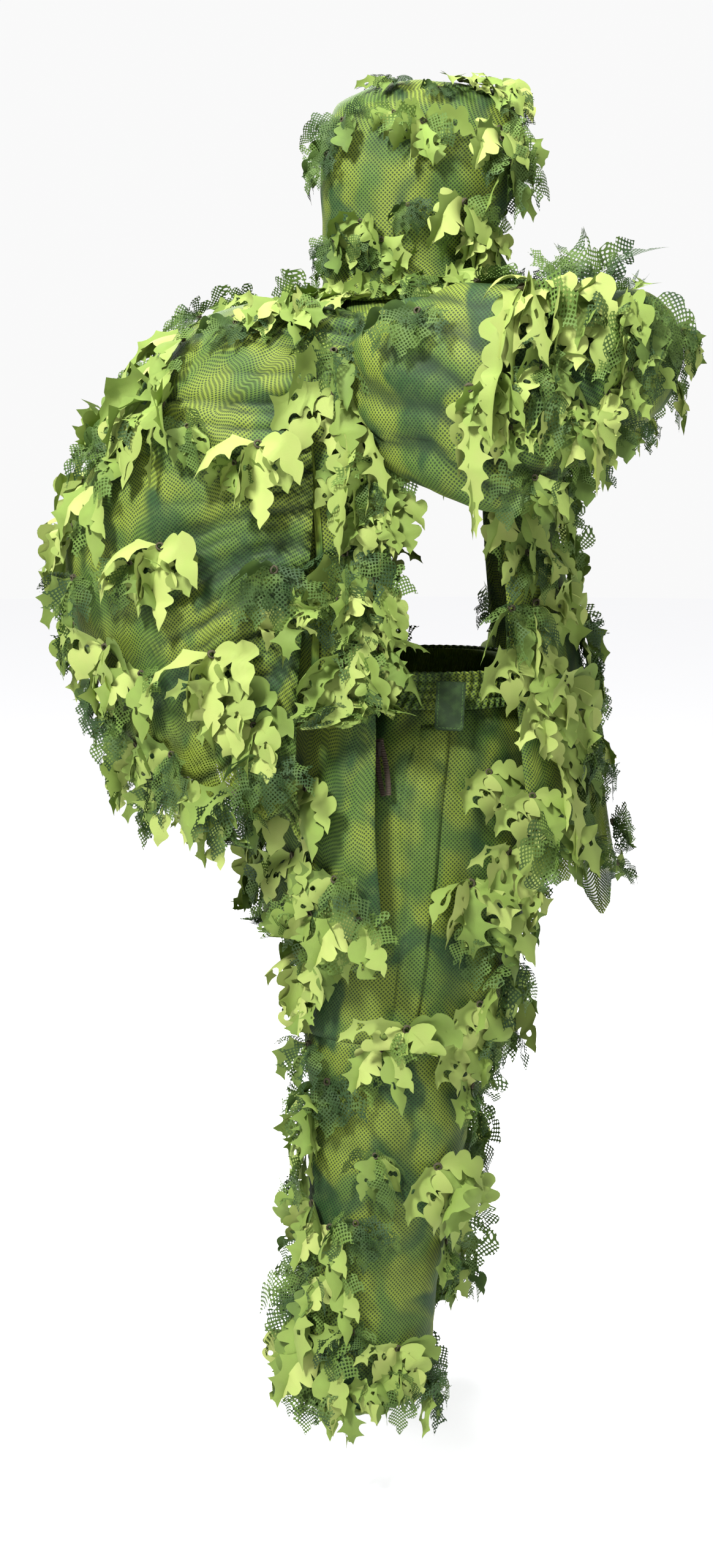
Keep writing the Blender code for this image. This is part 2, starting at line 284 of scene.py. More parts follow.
def makeTabWebbing():
    paint = Paint("tabWebbing")
    across, _, height = paint.split(paint.objectPoint())
    weave = (height * 3200).sine() * (across * 3200).sine()
    worn = paint.noise(paint.objectPoint(), 90.0, 3.0)
    colour = paint.mix(worn.ramp(0.35, 0.75), (0.014, 0.034, 0.008, 1), (0.036, 0.075, 0.018, 1))
    return paint.finish(colour, 0.48 + worn * 0.2, weave * 0.4 + worn, 0.0005, Specular_IOR_Level=0.3)


def makeZipTape():
    paint = Paint("zipTape")
    _, _, height = paint.split(paint.objectPoint())
    teeth = (height * 2100).sine()
    worn = paint.noise(paint.objectPoint(), 200.0, 2.0)
    colour = paint.mix(worn, (0.028, 0.019, 0.012, 1), (0.075, 0.050, 0.030, 1))
    return paint.finish(colour, 0.75, teeth * 0.6 + worn, 0.0008)


def makeSliderMetal():
    paint = Paint("sliderMetal")
    worn = paint.noise(paint.objectPoint(), 400.0, 3.0)
    colour = paint.mix(worn, (0.10, 0.085, 0.065, 1), (0.26, 0.23, 0.19, 1))
    return paint.finish(colour, 0.35 + worn * 0.2, worn, 0.0002, Metallic=1.0)


def makeBackdrop():
    paint = Paint("paleBackdrop")
    grain = paint.noise(paint.objectPoint(), 3.0, 2.0)
    colour = paint.mix(grain, (0.90, 0.90, 0.91, 1), (0.93, 0.93, 0.94, 1))
    seen = paint.node("ShaderNodeLightPath")  # white to the camera, but throws little light up at the suit
    glow = paint.mix(seen, (0.12, 0.12, 0.12, 1), (0.74, 0.74, 0.75, 1))
    return paint.finish(colour, 0.9, glow=glow, Emission_Strength=1.0)


print("finishes")
bodyNet = makeNetCloth()
leafSolid = makeLeafCloth()
leafNet = makeLeafNet()
knotCord = makeKnotCord()
elastic = makeElastic()

studio = {
    "cameraAt": (-0.094, -3.30, 1.45),
    "tiltDown": 9.2,
    "lens": 55.9,
    "air": 0.20,
    "backdrop": 0.95,
    "lights": {
        # where it stands, what it points at, size, watts
        "keyLight": ((-1.8, -2.5, 3.0), (-0.1, 0, 0.1), (0.7, 0.8), 265),
        "fillLight": ((2.8, -2.8, 1.2), (0, 0, 0), (1.4, 2.4), 22),
        "topLight": ((0.2, -0.6, 2.9), (0, 0, 0), (1.2, 1.2), 60),
        "rimLight": ((-0.8, 2.8, 2.0), (0, 0, 0.1), (2.6, 1.4), 115),
    },
    "floorRadius": 14,
}


def setCamera():
    camera = bpy.data.objects.new("camera", bpy.data.cameras.new("camera"))
    x, y, height = studio["cameraAt"]
    camera.location = (x, y, height - waistHeight)
    camera.rotation_euler = (math.radians(90 - studio["tiltDown"]), 0, 0)
    camera.data.lens = studio["lens"]
    camera.data.sensor_width = 36
    collection.objects.link(camera)
    bpy.context.scene.camera = camera


def softLight(name, place, target, size, power):
    light = bpy.data.objects.new(name, bpy.data.lights.new(name, "AREA"))
    light.data.shape = "RECTANGLE"
    light.data.size, light.data.size_y = size
    light.data.energy = power
    light.location = place
    aim = Vector(target) - Vector(place)
    light.rotation_euler = aim.to_track_quat("-Z", "Y").to_euler()
    collection.objects.link(light)


def setLights():
    for name, light in studio["lights"].items():
        softLight(name, *light)
    world = bpy.data.worlds.new("studioAir")
    world.use_nodes = True
    nodes, links = world.node_tree.nodes, world.node_tree.links
    air = nodes["Background"]
    air.inputs[0].default_value = (0.95, 0.95, 0.95, 1)
    air.inputs[1].default_value = studio["air"]
    seen, chooser, ray = (nodes.new("ShaderNode" + kind) for kind in ("Background", "MixShader", "LightPath"))
    seen.inputs[0].default_value = (1, 1, 1, 1)
    seen.inputs[1].default_value = studio["backdrop"]
    links.new(ray.outputs["Is Camera Ray"], chooser.inputs[0])
    links.new(air.outputs[0], chooser.inputs[1])
    links.new(seen.outputs[0], chooser.inputs[2])
    links.new(chooser.outputs[0], nodes["World Output"].inputs[0])
    bpy.context.scene.world = world
    bpy.context.scene.view_settings.view_transform = "Standard"


def makeFloor():
    size = {"vertices": 64, "radius": studio["floorRadius"], "fill_type": "NGON"}
    bpy.ops.mesh.primitive_circle_add(**size, location=(0, 0, -waistHeight))
    floor = bpy.context.active_object
    floor.name = "studioFloor"
    floor.data.materials.append(makeBackdrop())


setCamera()
setLights()
makeFloor()
print("camera, light and floor")


def level(height, centreX, centreY, halfDepth, halfWidth, square=2.0, rise=0.0, inner=None, innerSquare=None):
    # inner and innerSquare shape the half that faces the other side of the body
    inner = halfWidth if inner is None else inner
    innerSquare = square if innerSquare is None else innerSquare
    return (centreX, centreY, height, halfDepth, 0, rise, 0, halfWidth, 0, 0, inner, 0, square, innerSquare)


def crossing(centre, first, second, square=2.0):
    return (*centre, *first, *second, *second, square, square)


class Form:
    def __init__(self, stations, side=1):
        self.rows = np.array(stations, float)
        self.side = side

    def section(self, along):
        last = len(self.rows) - 1
        k = np.minimum(along.astype(int), last - 1)
        t = (along - k)[..., None]
        a, b, c, d = (self.rows[np.clip(k + i, 0, last)] for i in (-1, 0, 1, 2))
        return 0.5 * (2 * b + (c - a) * t + (2 * a - 5 * b + 4 * c - d) * t**2 + (3 * b - a - 3 * c + d) * t**3)

    def wall(self, turn, along):
        row = self.section(along)
        c, s = np.cos(np.radians(turn)), np.sin(np.radians(turn))
        square = np.where(s >= 0, row[..., 12], row[..., 13])
        c = np.sign(c) * np.abs(c) ** (2 / square)
        s = np.sign(s) * np.abs(s) ** (2 / square)
        second = np.where((s >= 0)[..., None], row[..., 6:9], row[..., 9:12])
        point = row[..., 0:3] + row[..., 3:6] * c[..., None] + second * s[..., None]
        point[..., 1] *= self.side
        point[..., 2] -= waistHeight
        centre = row[..., 0:3] * (1, self.side, 1) - (0, 0, waistHeight)
        return point, centre


def softNoise(points, scale, stretch=(1, 1, 1), seed=0.0):
    # one smooth noise value from -1 to 1 for each point of an array
    flat = points.reshape(-1, 3) * np.array(stretch) * scale + seed
    values = np.array([noise.noise(Vector(p)) for p in flat])
    return values.reshape(points.shape[:-1])


def smooth(low, high, value):
    t = np.clip((value - low) / (high - low), 0, 1)
    return t * t * (3 - 2 * t)


sheetSet = {
    "thick": 0.0013,
    "offCad": 0.0012,  # the cloth's middle lies this far outside the sections
    "creaseDepth": 0.0022,  # a fold this much deeper than what is round it is shaded fully dark
    "foldCloth": 1.04,  # cut size over the size without folds, which is assumed
}


def spread(values, reach):
    # each value averaged with its neighbours
    wide = np.pad(values, reach, mode="edge")
    count = 2 * reach + 1
    rows = sum(wide[i : i + values.shape[0]] for i in range(count)) / count
    return sum(rows[:, i : i + values.shape[1]] for i in range(count)) / count


fullTurn = (0.0, 360.0)


def setClothPlaces(mesh, places):
    # the UV layer that the weave, holes and ribs are drawn in, in metres along the cloth
    layer = mesh.uv_layers.new(name="cloth")
    index = np.zeros(len(mesh.loops), np.int32)
    mesh.loops.foreach_get("vertex_index", index)
    layer.data.foreach_set("uv", places[index].ravel().astype(np.float32))


def setValues(mesh, name, values):
    mesh.attributes.new(name, "FLOAT", "POINT").data.foreach_set("value", values.ravel().astype(np.float32))


def makeSheet(name, form, turns, alongs, cell, material, folds=None, see=0.0, closed=False,
              thick=sheetSet["thick"], keep=None, columns=None, halves=False, hem=None):
    # turns is the span of degrees round the section, as two numbers or two functions of along;
    # hem gives the last along of each column, as a function of its turn
    sample = np.linspace(alongs[0], alongs[1], 60)
    firstTurn = turns[0] if callable(turns[0]) else lambda along: np.full_like(along, turns[0])
    lastTurn = turns[1] if callable(turns[1]) else lambda along: np.full_like(along, turns[1])
    share = np.linspace(0, 1, 120)
    grid = firstTurn(sample)[:, None] * (1 - share) + lastTurn(sample)[:, None] * share
    coarse, _ = form.wall(grid, np.repeat(sample[:, None], 120, 1))
    widths = np.linalg.norm(np.diff(coarse, axis=1), axis=2).sum(1)
    lengths = np.linalg.norm(np.diff(coarse, axis=0), axis=2)
    columns = columns or max(4, int(np.median(widths) / cell[0]))
    columns += columns % 2 if halves else 0
    rows = max(2, int(np.median(lengths.sum(0)) / cell[1]))
    # stations are spread evenly by distance down the sheet
    run = np.concatenate([[0], np.cumsum(lengths.mean(1))])
    down = np.interp(np.linspace(0, run[-1], rows + 1), run, sample)
    share = np.linspace(0, 1, columns + 1)
    grid = firstTurn(down)[:, None] * (1 - share) + lastTurn(down)[:, None] * share
    along = np.repeat(down[:, None], columns + 1, 1)
    if hem:
        along = alongs[0] + (along - alongs[0]) * (hem(grid[-1]) - alongs[0]) / (alongs[1] - alongs[0])
    points, centres = form.wall(grid, along)
    steps = np.linalg.norm(np.diff(points, axis=1), axis=2)
    u = np.concatenate([np.zeros((rows + 1, 1)), np.cumsum(steps, 1)], 1)
    steps = np.linalg.norm(np.diff(points, axis=0), axis=2)
    v = np.concatenate([np.zeros((1, columns + 1)), np.cumsum(steps, 0)])
    v -= v[rows // 2]
    if halves:  # two halves meet in a seam, and each is cut square to its outer edge
        u = np.minimum(u, u[:, -1:] - u)
    else:
        u -= u[:, columns // 2][:, None]
    normals = np.cross(np.gradient(points, axis=1), np.gradient(points, axis=0))
    normals /= np.maximum(np.linalg.norm(normals, axis=2, keepdims=True), 1e-9)
    outward = np.sign((normals * (points - centres)).sum(2).mean())
    normals *= outward
    points = points + normals * sheetSet["offCad"]
    # crease carries painted shade: how much deeper a fold lies than the cloth round it, which darkens the cloth's
    # colour
    crease = np.zeros(u.shape)
    if folds:
        depth = folds(points, grid, along, u, v)
        crease = np.clip((spread(depth, 2) - depth) / sheetSet["creaseDepth"], 0, 1)
        points = points + normals * depth[..., None]
    quads = []
    for j in range(rows):
        for i in range(columns):
            if keep is not None and not keep(grid[j, i], along[j, i], points[j, i]):
                continue
            corner = j * (columns + 1) + i
            right = corner + 1
            below = corner + columns + 1
            quad = (corner, below, below + 1, right)
            quads.append(quad if outward * form.side > 0 else quad[:1] + quad[:0:-1])
    mesh = bpy.data.meshes.new(name)
    mesh.from_pydata(points.reshape(-1, 3).tolist(), [], quads)
    setClothPlaces(mesh, np.stack([u.ravel(), v.ravel()], 1))
    setValues(mesh, "see", see(points, grid, along) if callable(see) else np.full(points.shape[:2], see))
    setValues(mesh, "crease", crease)
    shape = bmesh.new()
    shape.from_mesh(mesh)
    if closed:
        bmesh.ops.remove_doubles(shape, verts=shape.verts, dist=0.00005)
    bmesh.ops.delete(shape, geom=[v for v in shape.verts if not v.link_faces], context="VERTS")
    bmesh.ops.recalc_face_normals(shape, faces=shape.faces)
    facing = sum(f.normal.dot(f.calc_center_median() - Vector(centres[rows // 2].mean(0))) for f in shape.faces)
    if facing < 0:
        bmesh.ops.reverse_faces(shape, faces=shape.faces)
    clothArea = sum(f.calc_area() for f in shape.faces)
    shape.to_mesh(mesh)
    shape.free()
    mesh.shade_smooth()
    mesh.materials.append(material)
    obj = bpy.data.objects.new(name, mesh)
    collection.objects.link(obj)
    tree = BVHTree.FromPolygons([v.co for v in mesh.vertices], [p.vertices for p in mesh.polygons])
    wall = obj.modifiers.new("wall", "SOLIDIFY")
    wall.thickness = thick
    wall.offset = 0
    width = float(widths.max()) * sheetSet["foldCloth"]
    length = float(np.median(lengths.sum(0))) * sheetSet["foldCloth"]
    # the area comes from the built cloth, so where the cap isn't reached it only repeats the built cloth's own
    # area; where the cap isn't reached an area check against it proves nothing
    area = min(clothArea * sheetSet["foldCloth"], width * length)
    return {"obj": obj, "tree": tree, "flat": (width, length), "area": area}


def putOn(obj, body, *nodes):
    # the piece rides on one body and stands for these CAD nodes
    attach(obj, body)
    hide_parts(*nodes)


# leaf bunches: each kind is made once, and Geometry Nodes ties copies on where they are wanted
leafShape = {
    "rowsPerLobe": 6,
    "lobes": 4,
    "length": (0.058, 0.094),
    "halfWidth": (0.018, 0.028),
    "ribbonLobes": 7,
    "ribbonLength": (0.12, 0.165),
    "ribbonHalfWidth": (0.014, 0.019),
    "fan": 250,  # degrees that a bunch's leaves spread over
    "uprightFan": 120,
    "clear": 0.004,
    "farOut": 0.024,
}
knotSet = {"loops": 3, "radius": 0.0042, "cord": 0.0013, "out": 0.0055, "around": 8, "about": 4}
bunchKinds = {
    # kind: how many variants, leaves in each, share of leaves cut from net, tone low and high (the tone is the
    # fabric's own tone together with painted light and shade, picked at random per leaf)
    "solid": (7, (5, 7), 0.12, (0.22, 1.0)),
    "net": (4, (6, 7), 0.80, (0.0, 0.5)),
    "mixed": (4, (6, 8), 0.45, (0.15, 0.70)),
    "ribbon": (3, (4, 5), 0.20, (0.50, 0.95)),
    "upright": (2, (4, 5), 1.00, (0.0, 0.35)),
}


def leafStrip(rng, length, halfWidth, aim, lobes, pointed, droop):
    # one cut-out leaf: points in rows of five across, standing out from the knot and bending down
    rows = leafShape["rowsPerLobe"] * lobes
    place = Vector((0.004, 0, 0)) + aim * 0.004
    heading = aim.normalized()
    side = heading.cross(Vector((1, 0, rng.uniform(-0.3, 0.3)))).normalized()
    side = (Matrix.Rotation(rng.uniform(-0.7, 0.7), 3, heading) @ side).normalized()
    curl = rng.uniform(-0.9, 1.4)
    twist = rng.uniform(-1.5, 1.5)
    reach = [[rng.uniform(0.55, 1.1) for _ in range(lobes + 2)] for _ in range(2)]
    points, marks = [], []
    step = length / rows
    for row in range(rows + 1):
        t = row / rows
        envelope = min(1.0, 0.30 + 2.6 * t) * (1 - t**5) * (1.0 if t < 0.7 else 1 - 0.55 * (t - 0.7) / 0.3)
        across = heading.cross(side).normalized()
        turned = Matrix.Rotation(twist * t, 3, heading)
        wide, out = turned @ side, turned @ across
        for column, spot in enumerate((-1, -0.45, 0, 0.45, 1)):
            edge = 0 if spot < 0 else 1
            phase = row / leafShape["rowsPerLobe"] + 0.5 * edge
            wave = abs(math.sin(math.pi * phase))
            if pointed:
                cut = 1 - 0.56 * wave**0.6
            else:
                cut = 0.50 + 0.50 * wave**0.5
            cut *= reach[edge][int(phase)]
            offset = spot * halfWidth * envelope * cut
            lift = -curl * abs(offset) ** 1.5 * 3.2
            point = place + wide * offset + out * lift + heading * abs(offset) * (0.25 if pointed else 0.1)
            point.x = max(point.x, leafShape["clear"] * (0.5 + t))
            points.append(point)
            marks.append((offset, t * length))
        heading = (heading + Vector((-0.02, 0, -droop)) * step * 22).normalized()
        if place.x < 0.010:
            heading.x = max(heading.x, 0.02)
        elif place.x > leafShape["farOut"]:
            heading.x = min(heading.x, -0.15)
        heading.normalize()
        side = (side - heading * side.dot(heading)).normalized()
        place = place + heading * step
    faces = []
    for row in range(rows):
        for column in range(4):
            corner = row * 5 + column
            faces.append((corner, corner + 5, corner + 6, corner + 1))
    # a round hole or two is cut near the middle: three cells go, and the points round them close in to a ring
    holes = set()
    for _ in range(rng.choice((0, 1, 1, 2))):
        row, column = rng.randrange(rows // 4, rows - 7), rng.choice((1, 2))
        holes |= {(row + i) * 4 + column for i in range(3)}
        corners = [(row + i) * 5 + column + j for i in range(4) for j in (0, 1)]
        middle = sum((points[i] for i in corners), Vector()) / 8
        for number, i in enumerate(corners):
            points[i] = points[i].lerp(middle, 0.34 if number in (0, 1, 6, 7) else -0.06)
    faces = [face for number, face in enumerate(faces) if number not in holes]
    return points, faces, marks


def knotPart(rng):
    # the cord that ties the bunch on, as three small loops that cross
    points, faces = [], []
    around, about, cord = knotSet["around"], knotSet["about"], knotSet["cord"]
    for _ in range(knotSet["loops"]):
        tilt = Matrix.Rotation(rng.uniform(0, math.pi), 3, "X")
        tilt = tilt @ Matrix.Rotation(rng.uniform(-0.8, 0.8), 3, "Y")
        base = len(points)
        for i in range(around):
            angle = 2 * math.pi * i / around
            here, ahead = base + i * about, base + (i + 1) % around * about
            for j in range(about):
                turn = 2 * math.pi * j / about
                radius = knotSet["radius"] + cord * math.cos(turn)
                ring = Vector((cord * math.sin(turn), radius * math.cos(angle), radius * math.sin(angle)))
                points.append(tilt @ ring + Vector((knotSet["out"], 0, 0)))
                beside = (j + 1) % about
                faces.append((here + j, ahead + j, ahead + beside, here + beside))
    return points, faces


def makeBunch(name, kind, rng):
    _, leaves, netShare, toneAndShadeSpan = bunchKinds[kind]
    points, faces, stuff, tone, marks = [], [], [], [], []

    def put(newPoints, newFaces, what, shade, newMarks):
        base = len(points)
        points.extend(newPoints)
        faces.extend(tuple(i + base for i in face) for face in newFaces)
        stuff.extend([what] * len(newFaces))
        tone.extend([shade] * len(newPoints))
        marks.extend(newMarks)

    count = rng.randint(*leaves)
    upright = kind == "upright"
    fan = leafShape["uprightFan" if upright else "fan"]
    for number in range(count):
        angle = (number - (count - 1) / 2) * fan / count + rng.uniform(-16, 16) - 90  # -90 points down
        if upright:
            angle += 180
        out = rng.uniform(0.35, 1.1) if number % 2 else rng.uniform(0.15, 0.6)
        aim = Vector((out, math.cos(math.radians(angle)), math.sin(math.radians(angle)))).normalized()
        long = kind == "ribbon" and number < 2
        length = rng.uniform(*leafShape["ribbonLength" if long else "length"])
        if long:
            aim = Vector((0.5, rng.uniform(-0.4, 0.4), -1)).normalized()
        halfWidth = rng.uniform(*leafShape["ribbonHalfWidth" if long else "halfWidth"])
        lobes = leafShape["ribbonLobes"] if long else leafShape["lobes"] - (rng.random() < 0.5)
        pointed = rng.random() < (0.9 if long else 0.42)
        droop = rng.uniform(-0.1, 0.4) if upright else rng.uniform(0.7, 1.5)
        strip, cells, where = leafStrip(rng, length, halfWidth, aim, lobes, pointed, droop)
        net = rng.random() < netShare
        put(strip, cells, 1 if net else 0, rng.uniform(*toneAndShadeSpan), where)
    knot, loops = knotPart(rng)
    put(knot, loops, 2, 0.5, [(p.y, p.z) for p in knot])
    mesh = bpy.data.meshes.new(name)
    mesh.from_pydata(points, [], faces)
    mesh.attributes.new("tone", "FLOAT", "POINT").data.foreach_set("value", tone)
    mesh.attributes.new("stuff", "INT", "FACE").data.foreach_set("value", stuff)
    setClothPlaces(mesh, np.array(marks))
    local = mesh.attributes.new("local", "FLOAT_VECTOR", "POINT")
    local.data.foreach_set("vector", [c for p in points for c in p])
    mesh.shade_smooth()
    return bpy.data.objects.new(name, mesh)


bunches = bpy.data.collections.new("leafBunches")
bunchNumbers = {}
rng = random.Random(11)
for kind, (variants, *_) in bunchKinds.items():
    bunchNumbers[kind] = []
    for variant in range(variants):
        number = len(bunches.objects)
        bunches.objects.link(makeBunch(f"bunch{number:02d}", kind, rng))
        bunchNumbers[kind].append(number)
kindLetters = {"L": "solid", "N": "net", "M": "mixed", "R": "ribbon", "U": "upright"}


def leafTree():
    tree = bpy.data.node_groups.new("tiedLeaves", "GeometryNodeTree")
    face = tree.interface
    face.new_socket("Geometry", in_out="INPUT", socket_type="NodeSocketGeometry")
    face.new_socket("Bunches", in_out="INPUT", socket_type="NodeSocketCollection")
    face.new_socket("Size", in_out="INPUT", socket_type="NodeSocketFloat")
    face.new_socket("Geometry", in_out="OUTPUT", socket_type="NodeSocketGeometry")
    make = tree.nodes.new
    link = tree.links.new
    start, end = make("NodeGroupInput"), make("NodeGroupOutput")

    def named(name, kind):
        node = make("GeometryNodeInputNamedAttribute")
        node.data_type = kind
        node.inputs["Name"].default_value = name
        return node.outputs["Attribute"]

    spots = make("GeometryNodeMeshToPoints")
    link(start.outputs["Geometry"], spots.inputs["Mesh"])
    kinds = make("GeometryNodeCollectionInfo")
    kinds.inputs["Separate Children"].default_value = True
    kinds.inputs["Reset Children"].default_value = True
    link(start.outputs["Bunches"], kinds.inputs["Collection"])
    tied = make("GeometryNodeInstanceOnPoints")
    tied.inputs["Pick Instance"].default_value = True
    link(spots.outputs[0], tied.inputs["Points"])
    link(kinds.outputs[0], tied.inputs["Instance"])
    link(named("pick", "INT"), tied.inputs["Instance Index"])
    turned = make("FunctionNodeEulerToRotation")
    link(named("aim", "FLOAT_VECTOR"), turned.inputs[0])
    link(turned.outputs[0], tied.inputs["Rotation"])
    scaled = make("ShaderNodeMath")
    scaled.operation = "MULTIPLY"
    link(named("size", "FLOAT"), scaled.inputs[0])
    link(start.outputs["Size"], scaled.inputs[1])
    link(scaled.outputs[0], tied.inputs["Scale"])
    real = make("GeometryNodeRealizeInstances")
    link(tied.outputs[0], real.inputs[0])
    last = real.outputs[0]
    for number, material in enumerate((leafSolid, leafNet, knotCord)):
        same = make("FunctionNodeCompare")
        same.data_type = "INT"
        same.operation = "EQUAL"
        link(named("stuff", "INT"), same.inputs[2])
        same.inputs[3].default_value = number
        dress = make("GeometryNodeSetMaterial")
        dress.inputs["Material"].default_value = material
        link(last, dress.inputs["Geometry"])
        link(same.outputs[0], dress.inputs["Selection"])
        last = dress.outputs[0]
    link(last, end.inputs["Geometry"])
    return tree


tiedLeaves = leafTree()


def bunchFrame(normal, rng):
    # X away from the wall, Z up the wall; under an overhang the bunch hangs straight down
    if normal.z < -0.05:
        normal = Vector((normal.x, normal.y, 0))
    normal = normal.normalized()
    up = Vector((0, 0, 1)) - normal * normal.z
    if up.length < 0.15:
        outwards = Vector((normal.x, normal.y, 0))
        up = -outwards if outwards.length > 0.02 else Vector((1, 0, 0))
        up -= normal * up.dot(normal)
    up.normalize()
    turned = Matrix((normal, up.cross(normal), up)).transposed()
    return (turned @ Matrix.Rotation(rng.uniform(-0.35, 0.35), 3, "X")).to_euler()


hangSet = {
    "step": 0.010,
    "steps": 26,
    "pull": 0.35,  # how strongly a leaf turns towards straight down at each step
    "offCloth": 0.014,
    "armWidth": 0.382,  # leaves past these are drawn in, by up to about the room
    "crown": 0.757,
    "room": 0.020,
}


def hangPath(tree, point, frame):
    # where a leaf lies on its way down from the knot: along the cloth, then straight down past an edge
    normal, sideways, down = frame.col[0].copy(), frame.col[1].copy(), -frame.col[2]
    rows = []
    free = False
    for _ in range(hangSet["steps"]):
        rows.append((*point, *normal, *sideways))
        ahead = point + down * hangSet["step"]
        if not free:
            hit, facing, _, distance = tree.find_nearest(ahead)
            if facing.dot(normal) < 0:
                facing = -facing
            free = distance > hangSet["offCloth"] or facing.z < -0.25
        if free:
            down = (down * 0.6 + Vector((0, 0, -1)) * 0.4).normalized()
            normal = (normal - down * normal.dot(down)).normalized()
            point = ahead
        else:
            normal = (normal * 0.6 + facing * 0.4).normalized()
            point = point.lerp(hit, 0.85) if distance < 1e-5 else ahead.lerp(hit, 0.85)
            pull = Vector((0, 0, -1)) + normal * normal.z
            down += pull * hangSet["pull"]
            down = (down - normal * down.dot(normal)).normalized()
        sideways = down.cross(normal).normalized() * (1 if down.cross(normal).dot(sideways) > 0 else -1)
    return np.array(rows)


def hangLeaves(mesh, tree, knots, aims, sizes):
    count = len(mesh.vertices)
    local, owner, where = np.zeros(count * 3), np.zeros(count, np.int32), np.zeros(count * 3)
    mesh.attributes["local"].data.foreach_get("vector", local)
    mesh.attributes["knot"].data.foreach_get("value", owner)
    mesh.vertices.foreach_get("co", where)
    local, where = local.reshape(-1, 3), where.reshape(-1, 3)
    for number, (knot, aim, size) in enumerate(zip(knots, aims, sizes)):
        mine = np.flatnonzero(owner == number)
        path = hangPath(tree, Vector(knot[0]), aim.to_matrix())
        offset = local[mine] * size
        low = np.clip(-offset[:, 2] / hangSet["step"], 0, len(path) - 1.001)
        first = low.astype(int)
        share = (low - first)[:, None]
        spot = path[first] * (1 - share) + path[first + 1] * share
        moved = spot[:, 0:3] + spot[:, 3:6] * offset[:, :1] + spot[:, 6:9] * offset[:, 1:2]
        below = (offset[:, 2] < 0)[:, None]
        where[mine] = np.where(below, moved, where[mine])
    room = hangSet["room"]
    over = np.maximum(np.abs(where[:, 1]) - hangSet["armWidth"], 0)  # leaves beside the arms lie close to them
    where[:, 1] -= np.sign(where[:, 1]) * (over - room * np.tanh(over / room))
    over = np.maximum(where[:, 2] - hangSet["crown"], 0) / room
    where[:, 2] -= room * (over - 0.6 * np.tanh(over / 0.6))
    mesh.vertices.foreach_set("co", where.ravel())
    mesh.update()


def grow(name, data, nodes, wanted):
    # runs the node tree on a mesh or curve that isn't kept, and returns what it makes
    holder = bpy.data.objects.new(name + "Holder", data)
    collection.objects.link(holder)
    maker = holder.modifiers.new("grow", "NODES")
    maker.node_group = nodes
    for item in nodes.interface.items_tree:
        if item.in_out == "INPUT" and item.name in wanted:
            maker[item.identifier] = wanted[item.name]
    made = bpy.data.meshes.new_from_object(holder.evaluated_get(bpy.context.evaluated_depsgraph_get()))
    made.name = name
    bpy.data.objects.remove(holder)
    return made


def tieBunches(name, knots, tree, size=1.0):
    # knots: (point, normal, size, kind letter)
    rng = random.Random(name)
    mesh = bpy.data.meshes.new(name + "Knots")
    mesh.from_pydata([k[0] for k in knots], [], [])
    aims = [bunchFrame(k[1], rng) for k in knots]
    mesh.attributes.new("aim", "FLOAT_VECTOR", "POINT").data.foreach_set("vector", [a for e in aims for a in e])
    sizes = [k[2] * rng.uniform(0.92, 1.08) for k in knots]
    mesh.attributes.new("size", "FLOAT", "POINT").data.foreach_set("value", sizes)
    mesh.attributes.new("knot", "INT", "POINT").data.foreach_set("value", range(len(knots)))
    picks = [rng.choice(bunchNumbers[kindLetters[k[3]]]) for k in knots]
    mesh.attributes.new("pick", "INT", "POINT").data.foreach_set("value", picks)
    made = grow(name, mesh, tiedLeaves, {"Bunches": bunches, "Size": size})
    hangLeaves(made, tree, knots, aims, [one * size for one in sizes])
    piece = bpy.data.objects.new(name, made)
    collection.objects.link(piece)
    return piece


def placeKnots(tree, marks, side):
    # marks are (x, height, size, kind) seen square from that side of the suit
    knots = []
    for x, height, size, kind in marks:
        start = Vector((x, side * 1.5, height - waistHeight))
        hit, normal, _, _ = tree.ray_cast(start, Vector((0, -side, 0)))
        if hit is None or hit.y * side < 0.01:
            hit, normal, _, _ = tree.find_nearest(Vector((x, side * 0.17, height - waistHeight)))
        knots.append((hit, normal, size, kind))
    return knots


def scatterKnots(made, count, spacing, wanted, kinds, others, seed, sizes=(0.8, 1.2)):
    # extra bunches, spread over the faces whose middle passes the test
    rng = random.Random(seed)
    mesh = made["obj"].data
    faces = [p for p in mesh.polygons if wanted(p.center, p.normal)]
    placed = [k[0] for k in others]
    knots = []
    for _ in range(count * 30):
        if len(knots) == count or not faces:
            break
        face = rng.choice(faces)
        if all((face.center - spot).length > spacing for spot in placed):
            placed.append(face.center.copy())
            knots.append((face.center.copy(), face.normal.copy(), rng.uniform(*sizes), rng.choice(kinds)))
    return knots


print("leaf bunches")

trouserSet = {
    "cell": (0.0085, 0.0085),
    "pleatPitch": 0.0125,
    "split": 6.72,  # station at mid-thigh, where the two sheets of a leg meet
    "columns": 84,  # shared by the sheets of a leg, so that their edges meet
    "hipBend": (0.960, 0.840),
    "kneeBend": (0.560, 0.440),
    "strideForward": 0.055,  # the left leg stands this far ahead
    "innerTop": 0.928,  # above this height a leg has no inner side
    "broadFold": 0.0115,
    "smallFold": 0.0055,
    "tuckDepth": 0.0032,
    "kneeFold": 0.006,
    "ankleFold": 0.007,
    "hemGather": 0.0022,
    "placketEdge": 0.016,  # half the width of the placket's raised middle
}


